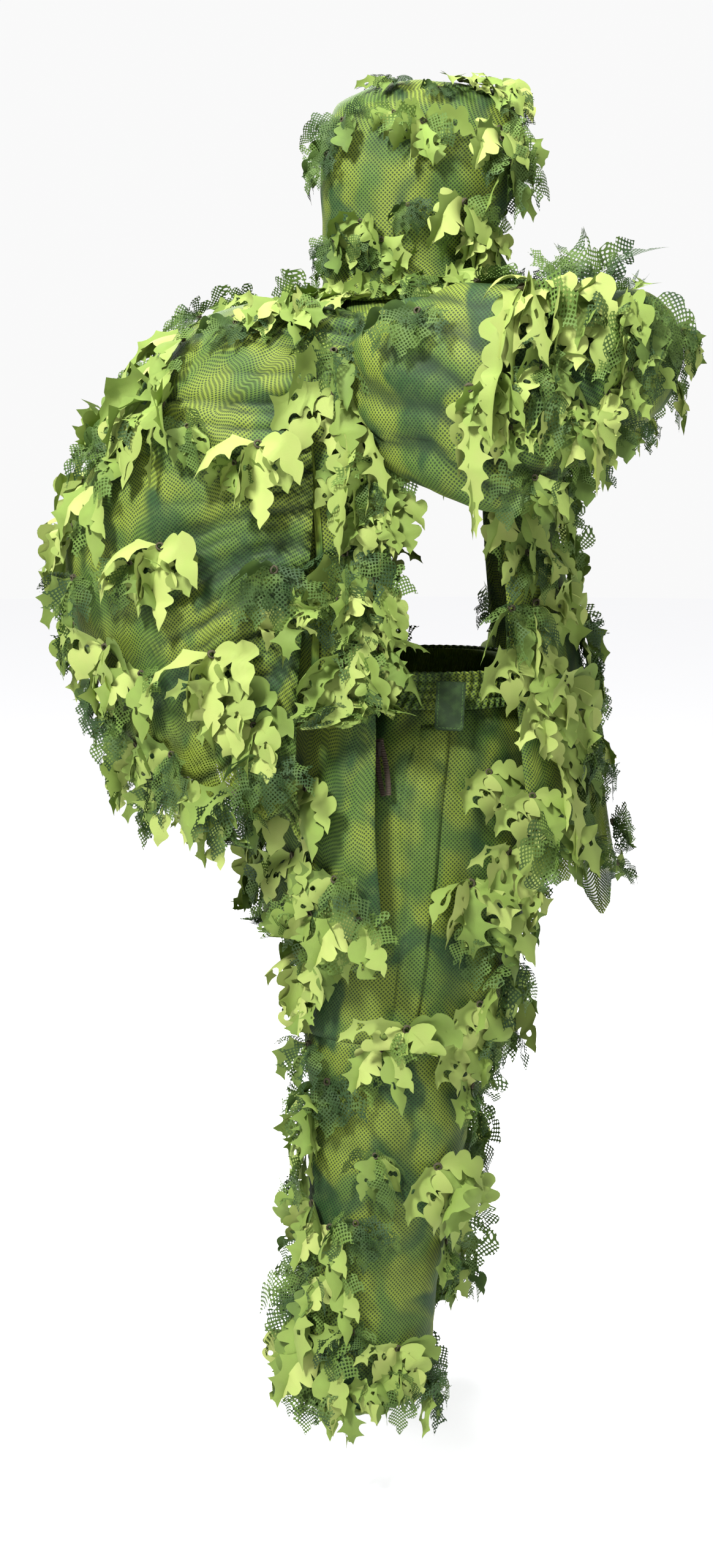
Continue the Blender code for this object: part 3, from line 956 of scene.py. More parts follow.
def legForm(side, shift):
    return Form((
        level(1.046, 0.011, 0.001, 0.126, 0.169, 2.2, 0, 0.0006, 2.0),
        level(1.020, 0.009, 0.001, 0.131, 0.176, 2.3, 0, 0.0006, 2.0),
        level(0.972, 0.000, 0.001, 0.147, 0.191, 2.5, 0.006, 0.0006, 2.0),
        level(0.920, -0.008, 0.004, 0.159, 0.199, 2.5, 0.008, 0.0030, 2.2),
        level(0.868, -0.010 + 0.04 * shift, 0.058, 0.154, 0.147, 2.4, 0.004, 0.053, 2.4),
        level(0.812, -0.012 + 0.10 * shift, 0.105, 0.146, 0.103, 2.3, 0, 0.096, 2.3),
        level(0.680, -0.025 + 0.25 * shift, 0.124, 0.136, 0.099, 2.1),
        level(0.580, -0.042 + 0.40 * shift, 0.134, 0.119, 0.095, 2.0),
        level(0.500, -0.048 + 0.50 * shift, 0.144, 0.107, 0.091, 2.0),
        level(0.400, -0.057 + 0.60 * shift, 0.155, 0.097, 0.087, 2.0),
        level(0.300, -0.072 + 0.80 * shift, 0.166, 0.089, 0.083, 2.0),
        level(0.210, -0.084 + 0.95 * shift, 0.176, 0.094, 0.085, 2.0),
        level(0.146, -0.089 + shift, 0.183, 0.096, 0.086, 2.0),
        level(0.126, -0.090 + shift, 0.184, 0.088, 0.080, 2.0),
    ), side)


def trouserFolds(points, turn, along, u, v):
    height = points[..., 2] + waistHeight
    soft = trouserSet["broadFold"] * softNoise(points, 9, (1, 1, 0.32), 3.1)
    soft += trouserSet["smallFold"] * softNoise(points, 21, (1, 1, 0.5), 8.7)
    tuck = np.sin(2 * np.pi * u / trouserSet["pleatPitch"] + 2.2 * softNoise(points, 24, (1, 1, 0.3)))
    soft += trouserSet["tuckDepth"] * tuck * np.exp(-np.maximum(0, 1.05 - height) / 0.035)
    knee = np.exp(-((height - 0.47) / 0.10) ** 2)
    knee *= np.cos(np.radians(turn - 180)) ** 2
    soft += trouserSet["kneeFold"] * knee * softNoise(points, 16, (0.5, 0.5, 2.4), 4.2)
    ankle = np.exp(-np.maximum(0, height - 0.14) / 0.09)
    soft += trouserSet["ankleFold"] * ankle * softNoise(points, 18, (0.6, 0.6, 2.2), 6.4)
    gather = np.sin(2 * np.pi * u / 0.016 + 1.5 * softNoise(points, 30))
    return soft + trouserSet["hemGather"] * gather * np.exp(-np.maximum(0, height - 0.128) / 0.012)


def bendBetween(obj, first, second, heights):
    heights[0] - waistHeight
    heights[1] - waistHeight
    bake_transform(obj)


legMarks = [
    (0.076, 0.959, 0.9, "L"), (0.052, 0.817, 1.2, "L"), (0.102, 0.853, 1.1, "L"), (0.128, 0.802, 1.0, "L"),
    (0.093, 0.703, 1.1, "N"), (-0.149, 0.703, 1.1, "L"), (-0.130, 0.755, 1.0, "M"), (-0.150, 0.657, 0.9, "L"),
    (-0.028, 0.631, 1.25, "L"), (0.013, 0.615, 1.0, "L"), (-0.058, 0.604, 0.9, "L"), (-0.129, 0.550, 1.0, "N"),
    (-0.160, 0.520, 1.0, "M"), (0.054, 0.541, 1.1, "N"), (-0.068, 0.462, 1.0, "M"), (0.009, 0.446, 1.15, "L"),
    (0.035, 0.414, 1.0, "L"), (-0.149, 0.382, 1.0, "L"), (-0.125, 0.360, 1.1, "L"), (-0.119, 0.296, 1.0, "L"),
    (-0.094, 0.371, 0.9, "N"), (-0.162, 0.253, 1.1, "M"), (-0.178, 0.209, 0.9, "L"), (-0.135, 0.198, 1.1, "L"),
    (-0.042, 0.204, 1.0, "L"), (-0.016, 0.174, 0.8, "M"), (0.020, 0.328, 1.0, "N"), (-0.151, 0.285, 0.9, "N"),
    (-0.099, 0.231, 0.8, "N"), (-0.150, 0.489, 0.9, "L"), (-0.165, 0.594, 0.9, "N"), (0.075, 0.760, 1.0, "M"),
    (0.065, 0.655, 1.0, "L"), (0.080, 0.610, 0.9, "N"), (-0.165, 0.445, 0.9, "M"), (-0.155, 0.330, 0.9, "N"),
    (-0.060, 0.165, 0.9, "M"), (-0.110, 0.155, 0.9, "L"), (-0.150, 0.160, 1.0, "N"), (0.000, 0.150, 0.9, "N"),
]


def makeLeg(word, side):
    shift = trouserSet["strideForward"] if side > 0 else 0.0
    form = legForm(side, shift)
    split = trouserSet["split"]
    allRound = (-90.0, 270.0)
    way = {"closed": True, "columns": trouserSet["columns"]}
    kept = lambda turn, along, point: 0 <= turn <= 180 or point[2] + waistHeight < trouserSet["innerTop"]
    cloth = (trouserSet["cell"], bodyNet, trouserFolds)
    upper = makeSheet(f"{word}LegUpper", form, allRound, (0.0, split), *cloth, keep=kept, **way)
    lower = makeSheet(f"{word}LegLower", form, allRound, (split, 13.0), *cloth, **way)
    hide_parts(f"{word}_thigh_front", f"{word}_thigh_back")
    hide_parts(f"{word}_shin_front", f"{word}_shin_back")
    marks = [(x + shift * min(1, max(0, (0.95 - z) / 0.8)), z, size, kind) for x, z, size, kind in legMarks]
    high = [m for m in marks if m[1] > 0.62]
    low = [m for m in marks if m[1] <= 0.62]
    back = lambda centre, normal: normal.x < -0.55 and centre.z < -0.30 and centre.y * side > 0.02
    front = lambda centre, normal: normal.x > 0.5 and centre.z < -0.16 and centre.y * side > 0.03
    for made, nearMarks, bodies, bend, counts, nodes in (
        (upper, high, ("trousers", f"{word}_thigh"), "hipBend", (4, 5), (f"{word}_thigh_leaves",)),
        (lower, low, (f"{word}_thigh", f"{word}_shin"), "kneeBend", (10, 5),
         (f"{word}_shin_leaves", f"{word}_hem_leaves")),
    ):
        knots = placeKnots(made["tree"], nearMarks, side)
        knots += scatterKnots(made, counts[0], 0.075, back, "LLNM", knots, f"{word}{bend}back")
        knots += scatterKnots(made, counts[1], 0.085, front, "LMN", knots, f"{word}{bend}front")
        leaves = tieBunches(made["obj"].name + "Leaves", knots, made["tree"])
        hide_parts(*nodes)
        bendBetween(made["obj"], *bodies, trouserSet[bend])
        bendBetween(leaves, *bodies, trouserSet[bend])
    over = lambda p, t, a, u, v: 0.0030 + trouserFolds(p, t, a, u, v)
    hem = makeSheet(f"{word}HemElastic", form, allRound, (12.35, 13.0), (0.006, 0.004), elastic, over,
                    thick=0.0022, **way)
    putOn(hem["obj"], f"{word}_shin", f"{word}_hem_elastic")
    edge = trouserSet["placketEdge"]
    raised = lambda p, t, a, u, v: 0.0026 + trouserFolds(p, t, a, u, v) - 0.0022 * (np.abs(u) > edge)
    placket = makeSheet(f"{word}SidePlacket", form, (84.0, 97.0), (1.0, 7.2), (0.006, 0.008), bodyNet, raised)
    bendBetween(placket["obj"], "trousers", f"{word}_thigh", trouserSet["hipBend"])
    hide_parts(f"{word}_side_placket")


waistSet = {"pitch": 0.0105, "depth": 0.0036, "seams": (1.0765, 1.0655, 1.0545), "inside": -0.0055}


def waistFolds(points, turn, along, u, v):
    height = points[..., 2] + waistHeight
    pleat = np.sin(2 * np.pi * u / waistSet["pitch"] + 1.8 * softNoise(points, 30, (1, 1, 0.25)))
    pleat *= 0.65 + 0.5 * softNoise(points, 11, (1, 1, 0.2), 2.0)
    pinch = sum(np.exp(-(((height - seam) / 0.0028) ** 2)) for seam in waistSet["seams"])
    return waistSet["depth"] * pleat * (1 - 0.75 * np.minimum(pinch, 1)) - 0.0022 * pinch + 0.002


def makeWaist():
    form = Form((
        level(1.0905, 0.012, 0, 0.124, 0.168, 2.2),
        level(1.0800, 0.012, 0, 0.122, 0.166, 2.2),
        level(1.0600, 0.011, 0, 0.124, 0.168, 2.2),
        level(1.0400, 0.011, 0, 0.128, 0.172, 2.3),
    ))
    cell = (0.0028, 0.0028)
    band = makeSheet("waistbandCloth", form, fullTurn, (0.0, 3.0), cell, bodyNet, waistFolds, closed=True)
    putOn(band["obj"], "trousers", "waistband", "seat_left", "seat_right")
    strap = makeSheet("waistElastic", form, fullTurn, (0.6, 2.6), (0.006, 0.006), elastic,
                      lambda p, t, a, u, v: waistSet["inside"] + 0 * u, closed=True, thick=0.002)
    putOn(strap["obj"], "trousers", "waist_elastic")


tabSet = {
    "size": (0.038, 0.064, 0.0026),  # width, length, thickness
    "corner": 0.006,
    "seamInset": 0.0035,
    "topCorner": (0.028, 0.1835, -0.006),
    "leanBack": 3,
    "leanOut": 13,
    "stitch": {"Length": 0.0032, "Step": 0.0048, "Thick": 0.00035},
}


def roundedPlate(name, width, length, thick, corner, material):
    # a flat strap end, hanging down from its top edge at z = 0, with rounded lower corners
    shape = bmesh.new()
    outline = [(-width / 2, 0), (-width / 2, -length + corner)]
    for step in range(1, 6):
        angle = math.pi + math.pi / 2 * step / 6
        x, z = corner * (1 + math.cos(angle)), corner * (1 + math.sin(angle))
        outline.append((x - width / 2, z - length))
    outline += [(-x, z) for x, z in reversed(outline)]
    loop = [shape.verts.new((x, -thick / 2, z)) for x, z in outline]
    face = shape.faces.new(loop)
    grown = bmesh.ops.extrude_face_region(shape, geom=[face])
    front = [g for g in grown["geom"] if isinstance(g, bmesh.types.BMVert)]
    bmesh.ops.translate(shape, verts=front, vec=(0, thick, 0))
    bmesh.ops.recalc_face_normals(shape, faces=shape.faces)
    rim = [e for e in shape.edges if len(e.link_faces) == 2 and e.calc_face_angle() > 1.2]
    bmesh.ops.bevel(shape, geom=rim, offset=thick * 0.28, segments=2, affect="EDGES")
    mesh = bpy.data.meshes.new(name)
    shape.to_mesh(mesh)
    shape.free()
    mesh.materials.append(material)
    return mesh


def stitchRow(name, path):
    # a row of thread stitches along a path of points, made by Geometry Nodes
    spline = bpy.data.curves.new(name + "Line", "CURVE")
    spline.dimensions = "3D"
    line = spline.splines.new("POLY")
    line.points.add(len(path) - 1)
    line.points.foreach_set("co", [c for p in path for c in (*p, 1)])
    return grow(name, spline, stitches, tabSet["stitch"])


def stitchTree():
    tree = bpy.data.node_groups.new("stitchRow", "GeometryNodeTree")
    face = tree.interface
    face.new_socket("Geometry", in_out="INPUT", socket_type="NodeSocketGeometry")
    for name in ("Step", "Length", "Thick"):
        face.new_socket(name, in_out="INPUT", socket_type="NodeSocketFloat")
    face.new_socket("Geometry", in_out="OUTPUT", socket_type="NodeSocketGeometry")
    make = tree.nodes.new
    link = tree.links.new
    start, end = make("NodeGroupInput"), make("NodeGroupOutput")
    spots = make("GeometryNodeCurveToPoints")
    spots.mode = "LENGTH"
    link(start.outputs["Geometry"], spots.inputs["Curve"])
    link(start.outputs["Step"], spots.inputs["Length"])
    thread = make("GeometryNodeMeshCylinder")
    thread.inputs["Vertices"].default_value = 6
    link(start.outputs["Thick"], thread.inputs["Radius"])
    link(start.outputs["Length"], thread.inputs["Depth"])
    aim = make("FunctionNodeAlignRotationToVector")
    aim.axis = "Z"
    link(spots.outputs["Tangent"], aim.inputs["Vector"])
    sewn = make("GeometryNodeInstanceOnPoints")
    link(spots.outputs["Points"], sewn.inputs["Points"])
    link(thread.outputs["Mesh"], sewn.inputs["Instance"])
    link(aim.outputs[0], sewn.inputs["Rotation"])
    real = make("GeometryNodeRealizeInstances")
    link(sewn.outputs[0], real.inputs[0])
    dress = make("GeometryNodeSetMaterial")
    dress.inputs["Material"].default_value = sewingThread
    link(real.outputs[0], dress.inputs["Geometry"])
    link(dress.outputs[0], end.inputs["Geometry"])
    return tree


def makeThread():
    paint = Paint("sewingThread")
    twist = paint.noise(paint.objectPoint(), 1500.0, 1.0)
    colour = paint.mix(twist, (0.045, 0.12, 0.020, 1), (0.14, 0.26, 0.05, 1))
    return paint.finish(colour, 0.6, twist, 0.0002)


sewingThread = makeThread()
stitches = stitchTree()
webbing = makeTabWebbing()
zipTape = makeZipTape()
sliderMetal = makeSliderMetal()


def joinInto(obj, meshes):
    # adds the meshes to the object, each with its own material
    shape = bmesh.new()
    shape.from_mesh(obj.data)
    for mesh in meshes:
        base = len(obj.data.materials)
        for material in mesh.materials:
            obj.data.materials.append(material)
        before = len(shape.faces)
        shape.from_mesh(mesh)
        shape.faces.ensure_lookup_table()
        for face in shape.faces[before:]:
            face.material_index += base
    shape.to_mesh(obj.data)
    shape.free()


def makeTab(word, side):
    width, length, thick = tabSet["size"]
    body = roundedPlate(f"{word}WaistTab", width, length, thick, tabSet["corner"], webbing)
    seams = []
    for face in (-1, 1):
        y = face * (thick / 2 + 0.0001)
        left, low, cut = tabSet["seamInset"] - width / 2, tabSet["seamInset"] - length, 0.003
        half = [(left, y, -0.004), (left, y, low + cut), (left + cut, y, low)]
        seams.append(stitchRow(f"{word}TabSeam{face}", half + [(-x, y, z) for x, _, z in reversed(half)]))
    tab = bpy.data.objects.new(f"{word}WaistTab", body)
    collection.objects.link(tab)
    joinInto(tab, seams)
    x, y, z = tabSet["topCorner"]
    turned = Matrix.Rotation(math.radians(tabSet["leanBack"]), 3, "Y")
    turned = turned @ Matrix.Rotation(side * math.radians(tabSet["leanOut"]), 3, "X")
    tab.data.transform(Matrix.Translation((x, side * y, z)) @ turned.to_4x4())
    putOn(tab, f"{word}_waist_tab", f"{word}_waist_tab")


zipSet = {
    "length": 0.074,
    "shut": 0.0006,  # half the gap where it is closed, and how much further it parts in the middle
    "parts": 0.0022,
    "tape": ((0.0, 0.0), (0.0012, 0.0007), (0.0042, 0.0005), (0.0058, -0.0004)),  # across and lift
    "teeth": 37,
    "tooth": (0.0014, 0.0011, 0.0008),
    "top": (-0.066, 0.1975, 1.006),
    "leans": (13.5, -10, 8),  # out, back and round
    "slider": (
        # size and place of the body, the bridge and the pull
        ((0.0066, 0.0030, 0.0095), (0, 0.0022, -0.0085)),
        ((0.0020, 0.0022, 0.0050), (0, 0.0042, -0.0075)),
        ((0.0040, 0.0011, 0.0150), (0, 0.0049, -0.0155)),
    ),
}


def zipGap(t):
    return zipSet["shut"] + zipSet["parts"] * math.sin(math.pi * min(1, max(0, (t - 0.16) / 0.84))) ** 0.8


def zipPiece(name, shape, material, side, place):
    mesh = bpy.data.meshes.new(name)
    shape.to_mesh(mesh)
    shape.free()
    mesh.materials.append(material)
    if side < 0:
        mesh.transform(Matrix.Diagonal((1, -1, 1, 1)))
        mesh.flip_normals()
    mesh.transform(place)
    obj = bpy.data.objects.new(name, mesh)
    collection.objects.link(obj)
    return obj


def makeZip(word, side):
    # two edges of tape that part a little in the middle, with teeth, and the slider near the top
    length = zipSet["length"]
    shape = bmesh.new()
    for edge in (-1, 1):
        rows = []
        for step in range(25):
            t = step / 24
            gap = zipGap(t)
            row = [(edge * (gap + across), lift, -t * length) for across, lift in zipSet["tape"]]
            rows.append([shape.verts.new(point) for point in row])
        for a, b in zip(rows, rows[1:]):
            for i in range(3):
                shape.faces.new((a[i], b[i], b[i + 1], a[i + 1]))
    for step in range(zipSet["teeth"]):
        z = -0.001 - step * length / (zipSet["teeth"] + 0.5)
        for edge in (-1, 1):
            at = Matrix.Translation((edge * zipGap(-z / length), 0.0008, z - 0.0005 * edge))
            bmesh.ops.create_cube(shape, size=1, matrix=at @ Matrix.Diagonal((*zipSet["tooth"], 1)))
    bmesh.ops.recalc_face_normals(shape, faces=shape.faces)
    x, y, height = zipSet["top"]
    leanOut, leanBack, turnRound = (math.radians(angle) for angle in zipSet["leans"])
    turned = Matrix.Rotation(side * turnRound, 3, "Z") @ Matrix.Rotation(leanBack, 3, "Y")
    turned = turned @ Matrix.Rotation(side * leanOut, 3, "X")
    place = Matrix.LocRotScale(Vector((x, side * y, height - waistHeight)), turned, None)
    tape = zipPiece(f"{word}PocketZip", shape, zipTape, side, place)
    thicken = tape.modifiers.new("wall", "SOLIDIFY")
    thicken.thickness = 0.0007
    thicken.offset = 0
    putOn(tape, "trousers", f"{word}_pocket_zip")
    puller = bmesh.new()
    for size, at in zipSet["slider"]:
        box = bmesh.ops.create_cube(puller, size=1, matrix=Matrix.Translation(at) @ Matrix.Diagonal((*size, 1)))
        rim = list({e for v in box["verts"] for e in v.link_edges})
        bmesh.ops.bevel(puller, geom=rim, offset=0.0005, segments=2, affect="EDGES")
    slider = zipPiece(f"{word}ZipSlider", puller, sliderMetal, side, place)
    putOn(slider, f"{word}_zip_slider", f"{word}_zip_slider")


for word, side in sides.items():
    makeLeg(word, side)
    makeTab(word, side)
    makeZip(word, side)
makeWaist()
print("trousers")

jacketSet = {"cell": (0.0085, 0.0085), "fineCell": (0.0075, 0.0075), "chestBend": (1.290, 1.220)}


def softFolds(amount, scale, stretch, seed):
    def folds(points, turn, along, u, v):
        broad = amount * softNoise(points, scale, stretch, seed)
        return broad + 0.35 * amount * softNoise(points, scale * 2.6, stretch, seed + 5)

    return folds


def makeYoke():
    form = Form((
        level(1.600, -0.022, 0, 0.096, 0.080),
        level(1.585, -0.022, 0, 0.099, 0.090),
        level(1.565, -0.020, 0, 0.113, 0.120, 2.1),
        level(1.540, -0.010, 0, 0.127, 0.167, 2.2),
        level(1.500, 0.000, 0, 0.139, 0.202, 2.3),
        level(1.438, 0.008, 0, 0.147, 0.214, 2.4),
    ))
    folds = softFolds(0.005, 11, (1, 1, 1), 2.0)
    yoke = makeSheet("yokeCloth", form, fullTurn, (0.55, 5.0), jacketSet["cell"], bodyNet, folds, closed=True)
    putOn(yoke["obj"], "jacket", "yoke")
    gathers = lambda p, t, a, u, v: 0.003 + 0.0012 * np.sin(2 * np.pi * u / 0.009)
    binding = makeSheet("neckBinding", form, fullTurn, (0.45, 1.15), (0.006, 0.004), elastic, gathers,
                        closed=True, thick=0.002)
    putOn(binding["obj"], "jacket", "neck_binding")
    marks = [
        (-0.146, 1.575, 0.9, "N"), (-0.156, 1.560, 0.9, "N"), (-0.123, 1.558, 1.1, "L"), (-0.044, 1.590, 0.9, "N"),
        (-0.002, 1.586, 1.0, "L"), (0.012, 1.560, 1.2, "R"), (0.049, 1.590, 0.9, "L"), (-0.079, 1.592, 0.8, "L"),
        (-0.099, 1.575, 0.8, "L"), (0.030, 1.580, 0.8, "M"), (-0.118, 1.530, 1.0, "L"), (0.060, 1.570, 0.9, "N"),
    ]
    knots = placeKnots(yoke["tree"], marks, -1)
    knots += placeKnots(yoke["tree"], [m[:3] + ("M",) for m in marks], 1)
    front = lambda centre, normal: centre.x > 0.05 and 0.36 < centre.z < 0.50
    knots += scatterKnots(yoke, 7, 0.07, front, "LMN", knots, "yokeFront")
    leaves = tieBunches("yokeLeaves", knots, yoke["tree"], 0.95)
    putOn(leaves, "jacket", "yoke_leaves")


def makeFront():
    form = Form((
        level(1.442, 0.008, 0, 0.148, 0.214, 2.4),
        level(1.350, 0.010, 0, 0.155, 0.219, 2.4),
        level(1.262, 0.010, 0, 0.165, 0.223, 2.4),
        level(1.150, 0.012, 0, 0.181, 0.226, 2.4),
        level(1.030, 0.018, 0, 0.196, 0.226, 2.4),
        level(0.900, 0.024, 0, 0.214, 0.222, 2.4),
        level(0.800, 0.032, 0, 0.224, 0.214, 2.4),
        level(0.715, 0.038, 0, 0.234, 0.204, 2.4),
    ))

    def folds(points, turn, along, u, v):
        swing = 0.010 * smooth(2.0, 6.5, along) * np.sin(np.radians(turn) * 5.2 + 0.8)
        return swing + softFolds(0.008, 7, (1, 1, 0.4), 7.0)(points, turn, along, u, v)

    def hem(turn):  # the lower edge drops to a long point on the far side of the middle
        ragged = 0.10 * np.sin(turn * 0.31) + 0.05 * np.sin(turn * 0.83)
        return 5.75 + 1.2 * np.exp(-(((turn - 24) / 15) ** 2)) + ragged

    front = makeSheet("frontPanel", form, (-66.0, 66.0), (0.0, 7.0), jacketSet["fineCell"], bodyNet, folds,
                      see=lambda p, t, a: 0.95 * smooth(4.7, 5.5, a), hem=hem)
    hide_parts("chest_panel", "front_flap")
    marks = [
        (0.105, 1.305, 1.1, "L"), (0.150, 1.250, 1.0, "L"), (0.100, 1.176, 1.0, "N"), (0.131, 1.181, 1.2, "R"),
        (0.117, 1.120, 1.1, "L"), (0.173, 1.070, 1.2, "L"), (0.153, 0.999, 1.25, "R"), (0.190, 1.019, 1.1, "N"),
        (0.142, 1.065, 1.0, "L"), (0.190, 0.963, 1.0, "N"), (0.120, 1.245, 0.9, "M"), (0.165, 1.191, 1.0, "L"),
        (0.130, 0.935, 1.0, "L"), (0.160, 0.890, 1.1, "M"), (0.110, 1.360, 1.0, "L"), (0.112, 1.040, 1.0, "L"),
    ]
    knots = placeKnots(front["tree"], marks, -1)
    other = [(x, z - 0.02, size, "L" if kind == "M" else kind) for x, z, size, kind in marks if z > 0.98]
    knots += placeKnots(front["tree"], other, 1)
    middle = lambda centre, normal: normal.x > 0.6 and (-0.30 if centre.y < 0.04 else -0.12) < centre.z < 0.35
    knots += scatterKnots(front, 26, 0.075, middle, "LLMN", knots, "flapMiddle")
    leaves = tieBunches("frontPanelLeaves", knots, front["tree"])
    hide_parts("front_flap_leaves")
    bendBetween(front["obj"], "jacket", "front_flap", jacketSet["chestBend"])
    bendBetween(leaves, "jacket", "front_flap", jacketSet["chestBend"])


bandMarks = [
    (-0.113, 1.455, 1.2, "L"), (-0.087, 1.408, 1.25, "R"), (-0.060, 1.360, 1.1, "L"), (-0.050, 1.311, 1.0, "L"),
    (-0.074, 1.292, 0.9, "L"), (-0.108, 1.247, 1.1, "N"), (-0.069, 1.213, 1.0, "L"), (-0.109, 1.104, 1.1, "L"),
    (-0.064, 1.126, 1.0, "M"), (-0.089, 1.154, 0.8, "N"), (-0.080, 1.180, 0.9, "L"), (-0.115, 1.190, 0.9, "N"),
    (-0.095, 1.340, 0.8, "M"), (-0.100, 1.060, 1.0, "N"), (-0.118, 1.048, 0.9, "L"), (-0.078, 1.044, 0.8, "M"),
]
skirtMarks = [
    (-0.154, 0.941, 1.25, "L"), (-0.204, 0.905, 1.0, "N"), (-0.174, 0.849, 1.0, "L"), (-0.119, 0.828, 1.1, "M"),
    (-0.088, 0.777, 1.2, "L"), (-0.200, 0.828, 0.9, "N"), (-0.150, 0.780, 1.0, "L"), (-0.185, 0.770, 1.0, "M"),
]


def makeSides(word, side):
    band = Form((
        level(1.446, 0.000, 0, 0.318, 0.219, 3.0),
        level(1.350, 0.004, 0, 0.300, 0.224, 3.0),
        level(1.250, 0.008, 0, 0.290, 0.226, 3.0),
        level(1.150, 0.004, 0, 0.290, 0.230, 3.0),
        level(1.020, 0.000, 0, 0.290, 0.238, 3.0),
    ), side)
    leading = lambda along: 97.0 - 0.8 * along
    strip = makeSheet(f"{word}SideBand", band, (leading, 119.0), (0.0, 4.0), (0.006, 0.008), bodyNet,
                      softFolds(0.004, 13, (1, 1, 0.6), 3.0), hem=lambda turn: 3.8 + 0.15 * np.sin(turn * 0.3))
    putOn(strip["obj"], "jacket", f"{word}_side_band")
    knots = placeKnots(strip["tree"], bandMarks, side)
    leaves = tieBunches(f"{word}BandLeaves", knots, strip["tree"])
    putOn(leaves, "jacket", f"{word}_band_leaves")
    gathers = lambda p, t, a, u, v: 0.0030 + 0.0010 * np.sin(2 * np.pi * v / 0.012)
    strap = makeSheet(f"{word}GatherElastic", band, (110.4, 112.6), (0.0, 3.65), (0.004, 0.006), elastic,
                      gathers, thick=0.002)
    putOn(strap["obj"], "jacket", f"{word}_gather_elastic")
    skirt = Form((
        level(1.060, 0.010, 0, 0.198, 0.240, 2.4),
        level(1.030, 0.010, 0, 0.200, 0.240, 2.4),
        level(0.900, 0.006, 0, 0.216, 0.244, 2.4),
        level(0.800, 0.006, 0, 0.228, 0.246, 2.4),
        level(0.700, 0.002, 0, 0.236, 0.250, 2.4),
    ), side)
    leading = lambda along: 112.0 - 2.6 * along
    ragged = lambda turn: 0.08 * np.sin(turn * 0.4) + 0.03 * np.sin(turn)
    hem = lambda turn: 3.4 + 0.5 * np.exp(-(((turn - 108) / 9) ** 2)) + ragged(turn)
    folds = softFolds(0.010, 8, (1, 1, 0.35), 11.0)
    flap = makeSheet(f"{word}Skirt", skirt, (leading, 179.7), (0.0, 4.0), jacketSet["fineCell"], bodyNet,
                     folds, hem=hem)
    putOn(flap["obj"], "jacket", f"{word}_skirt")
    knots = placeKnots(flap["tree"], skirtMarks, side)
    back = lambda centre, normal: normal.x < -0.4 and centre.z < -0.12
    knots += scatterKnots(flap, 12, 0.075, back, "LLMN", knots, word + "skirt")
    leaves = tieBunches(f"{word}SkirtLeaves", knots, flap["tree"])
    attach(leaves, "jacket")


makeYoke()
makeFront()
for word, side in sides.items():
    makeSides(word, side)
print("jacket")

pouchSet = {
    "cell": (0.0068, 0.0042),
    "finePitch": 0.024, "fineDepth": 0.0170, "fineReach": 0.110,
    "broadPitch": 0.058, "broadDepth": 0.0200, "broadReach": 0.230,
    "billow": 0.012, "dimples": 0.0045, "slack": 0.010, "drawnIn": 0.004,
    "lipBend": (0.985, 0.925),
}


def pouchFolds(points, turn, along, u, v):
    # ruching that runs back from the gathered front seam and dies out over the curve; u starts at the seam
    height = points[..., 2] + waistHeight
    fan = height + 0.12 * u - 1.1 * u * (height - 1.34)
    drift = 1.1 * softNoise(points, 5.5, (1, 0.3, 1), 4.0)
    fine = np.abs(np.sin(np.pi * (fan / pouchSet["finePitch"] + drift))) ** 0.6 - 0.6
    broad = np.abs(np.sin(np.pi * (fan / pouchSet["broadPitch"] + 0.7 * drift + 0.25))) ** 0.75 - 0.6
    near = np.exp(-u / pouchSet["fineReach"])
    far = np.exp(-u / pouchSet["broadReach"])
    uneven = 0.75 + 0.5 * softNoise(points, 13, (1, 1, 1), 9.0)
    ruched = (pouchSet["fineDepth"] * fine * near + pouchSet["broadDepth"] * broad * far) * uneven
    ruched *= 0.25 + 0.75 * smooth(0.8, 2.4, along)
    billow = pouchSet["billow"] * softNoise(points, 4.2, (1, 1, 1.3), 1.5)
    billow += pouchSet["dimples"] * softNoise(points, 13, (1, 1, 1.6), 5.5)
    slack = pouchSet["slack"] * smooth(7.5, 9.5, along) * softNoise(points, 10, (0.6, 0.6, 2.4), 12.0)
    return ruched + billow * (1 - 0.7 * near) + slack - pouchSet["drawnIn"]


pouchMarks = [
    (-0.254, 1.565, 0.8, "N"), (-0.220, 1.575, 0.8, "L"), (-0.184, 1.580, 0.9, "L"), (-0.298, 1.540, 0.8, "N"),
    (-0.313, 1.512, 1.1, "L"), (-0.377, 1.471, 0.9, "M"), (-0.407, 1.442, 0.8, "L"), (-0.447, 1.399, 0.9, "M"),
    (-0.339, 1.428, 1.3, "L"), (-0.305, 1.403, 0.9, "M"), (-0.216, 1.382, 1.1, "L"), (-0.246, 1.360, 0.7, "L"),
    (-0.470, 1.338, 1.1, "L"), (-0.393, 1.403, 1.0, "N"), (-0.341, 1.252, 1.2, "L"), (-0.381, 1.232, 0.9, "M"),
    (-0.468, 1.271, 1.0, "L"), (-0.460, 1.207, 1.0, "N"), (-0.198, 1.227, 1.2, "N"), (-0.183, 1.182, 0.9, "L"),
    (-0.417, 1.118, 1.15, "L"), (-0.368, 1.088, 1.1, "L"), (-0.278, 1.118, 1.2, "L"), (-0.258, 1.072, 1.1, "L"),
    (-0.224, 1.027, 1.0, "L"), (-0.400, 1.027, 1.1, "N"), (-0.315, 0.941, 1.2, "L"), (-0.204, 0.987, 1.1, "N"),
    (-0.350, 0.946, 1.0, "N"), (-0.249, 0.941, 1.0, "N"), (-0.280, 0.905, 0.8, "L"), (-0.152, 1.555, 0.8, "L"),
    (-0.350, 1.500, 0.9, "L"), (-0.425, 1.380, 0.9, "N"), (-0.330, 0.985, 1.0, "M"), (-0.225, 0.905, 1.0, "M"),
    (-0.380, 0.990, 1.0, "L"),
]


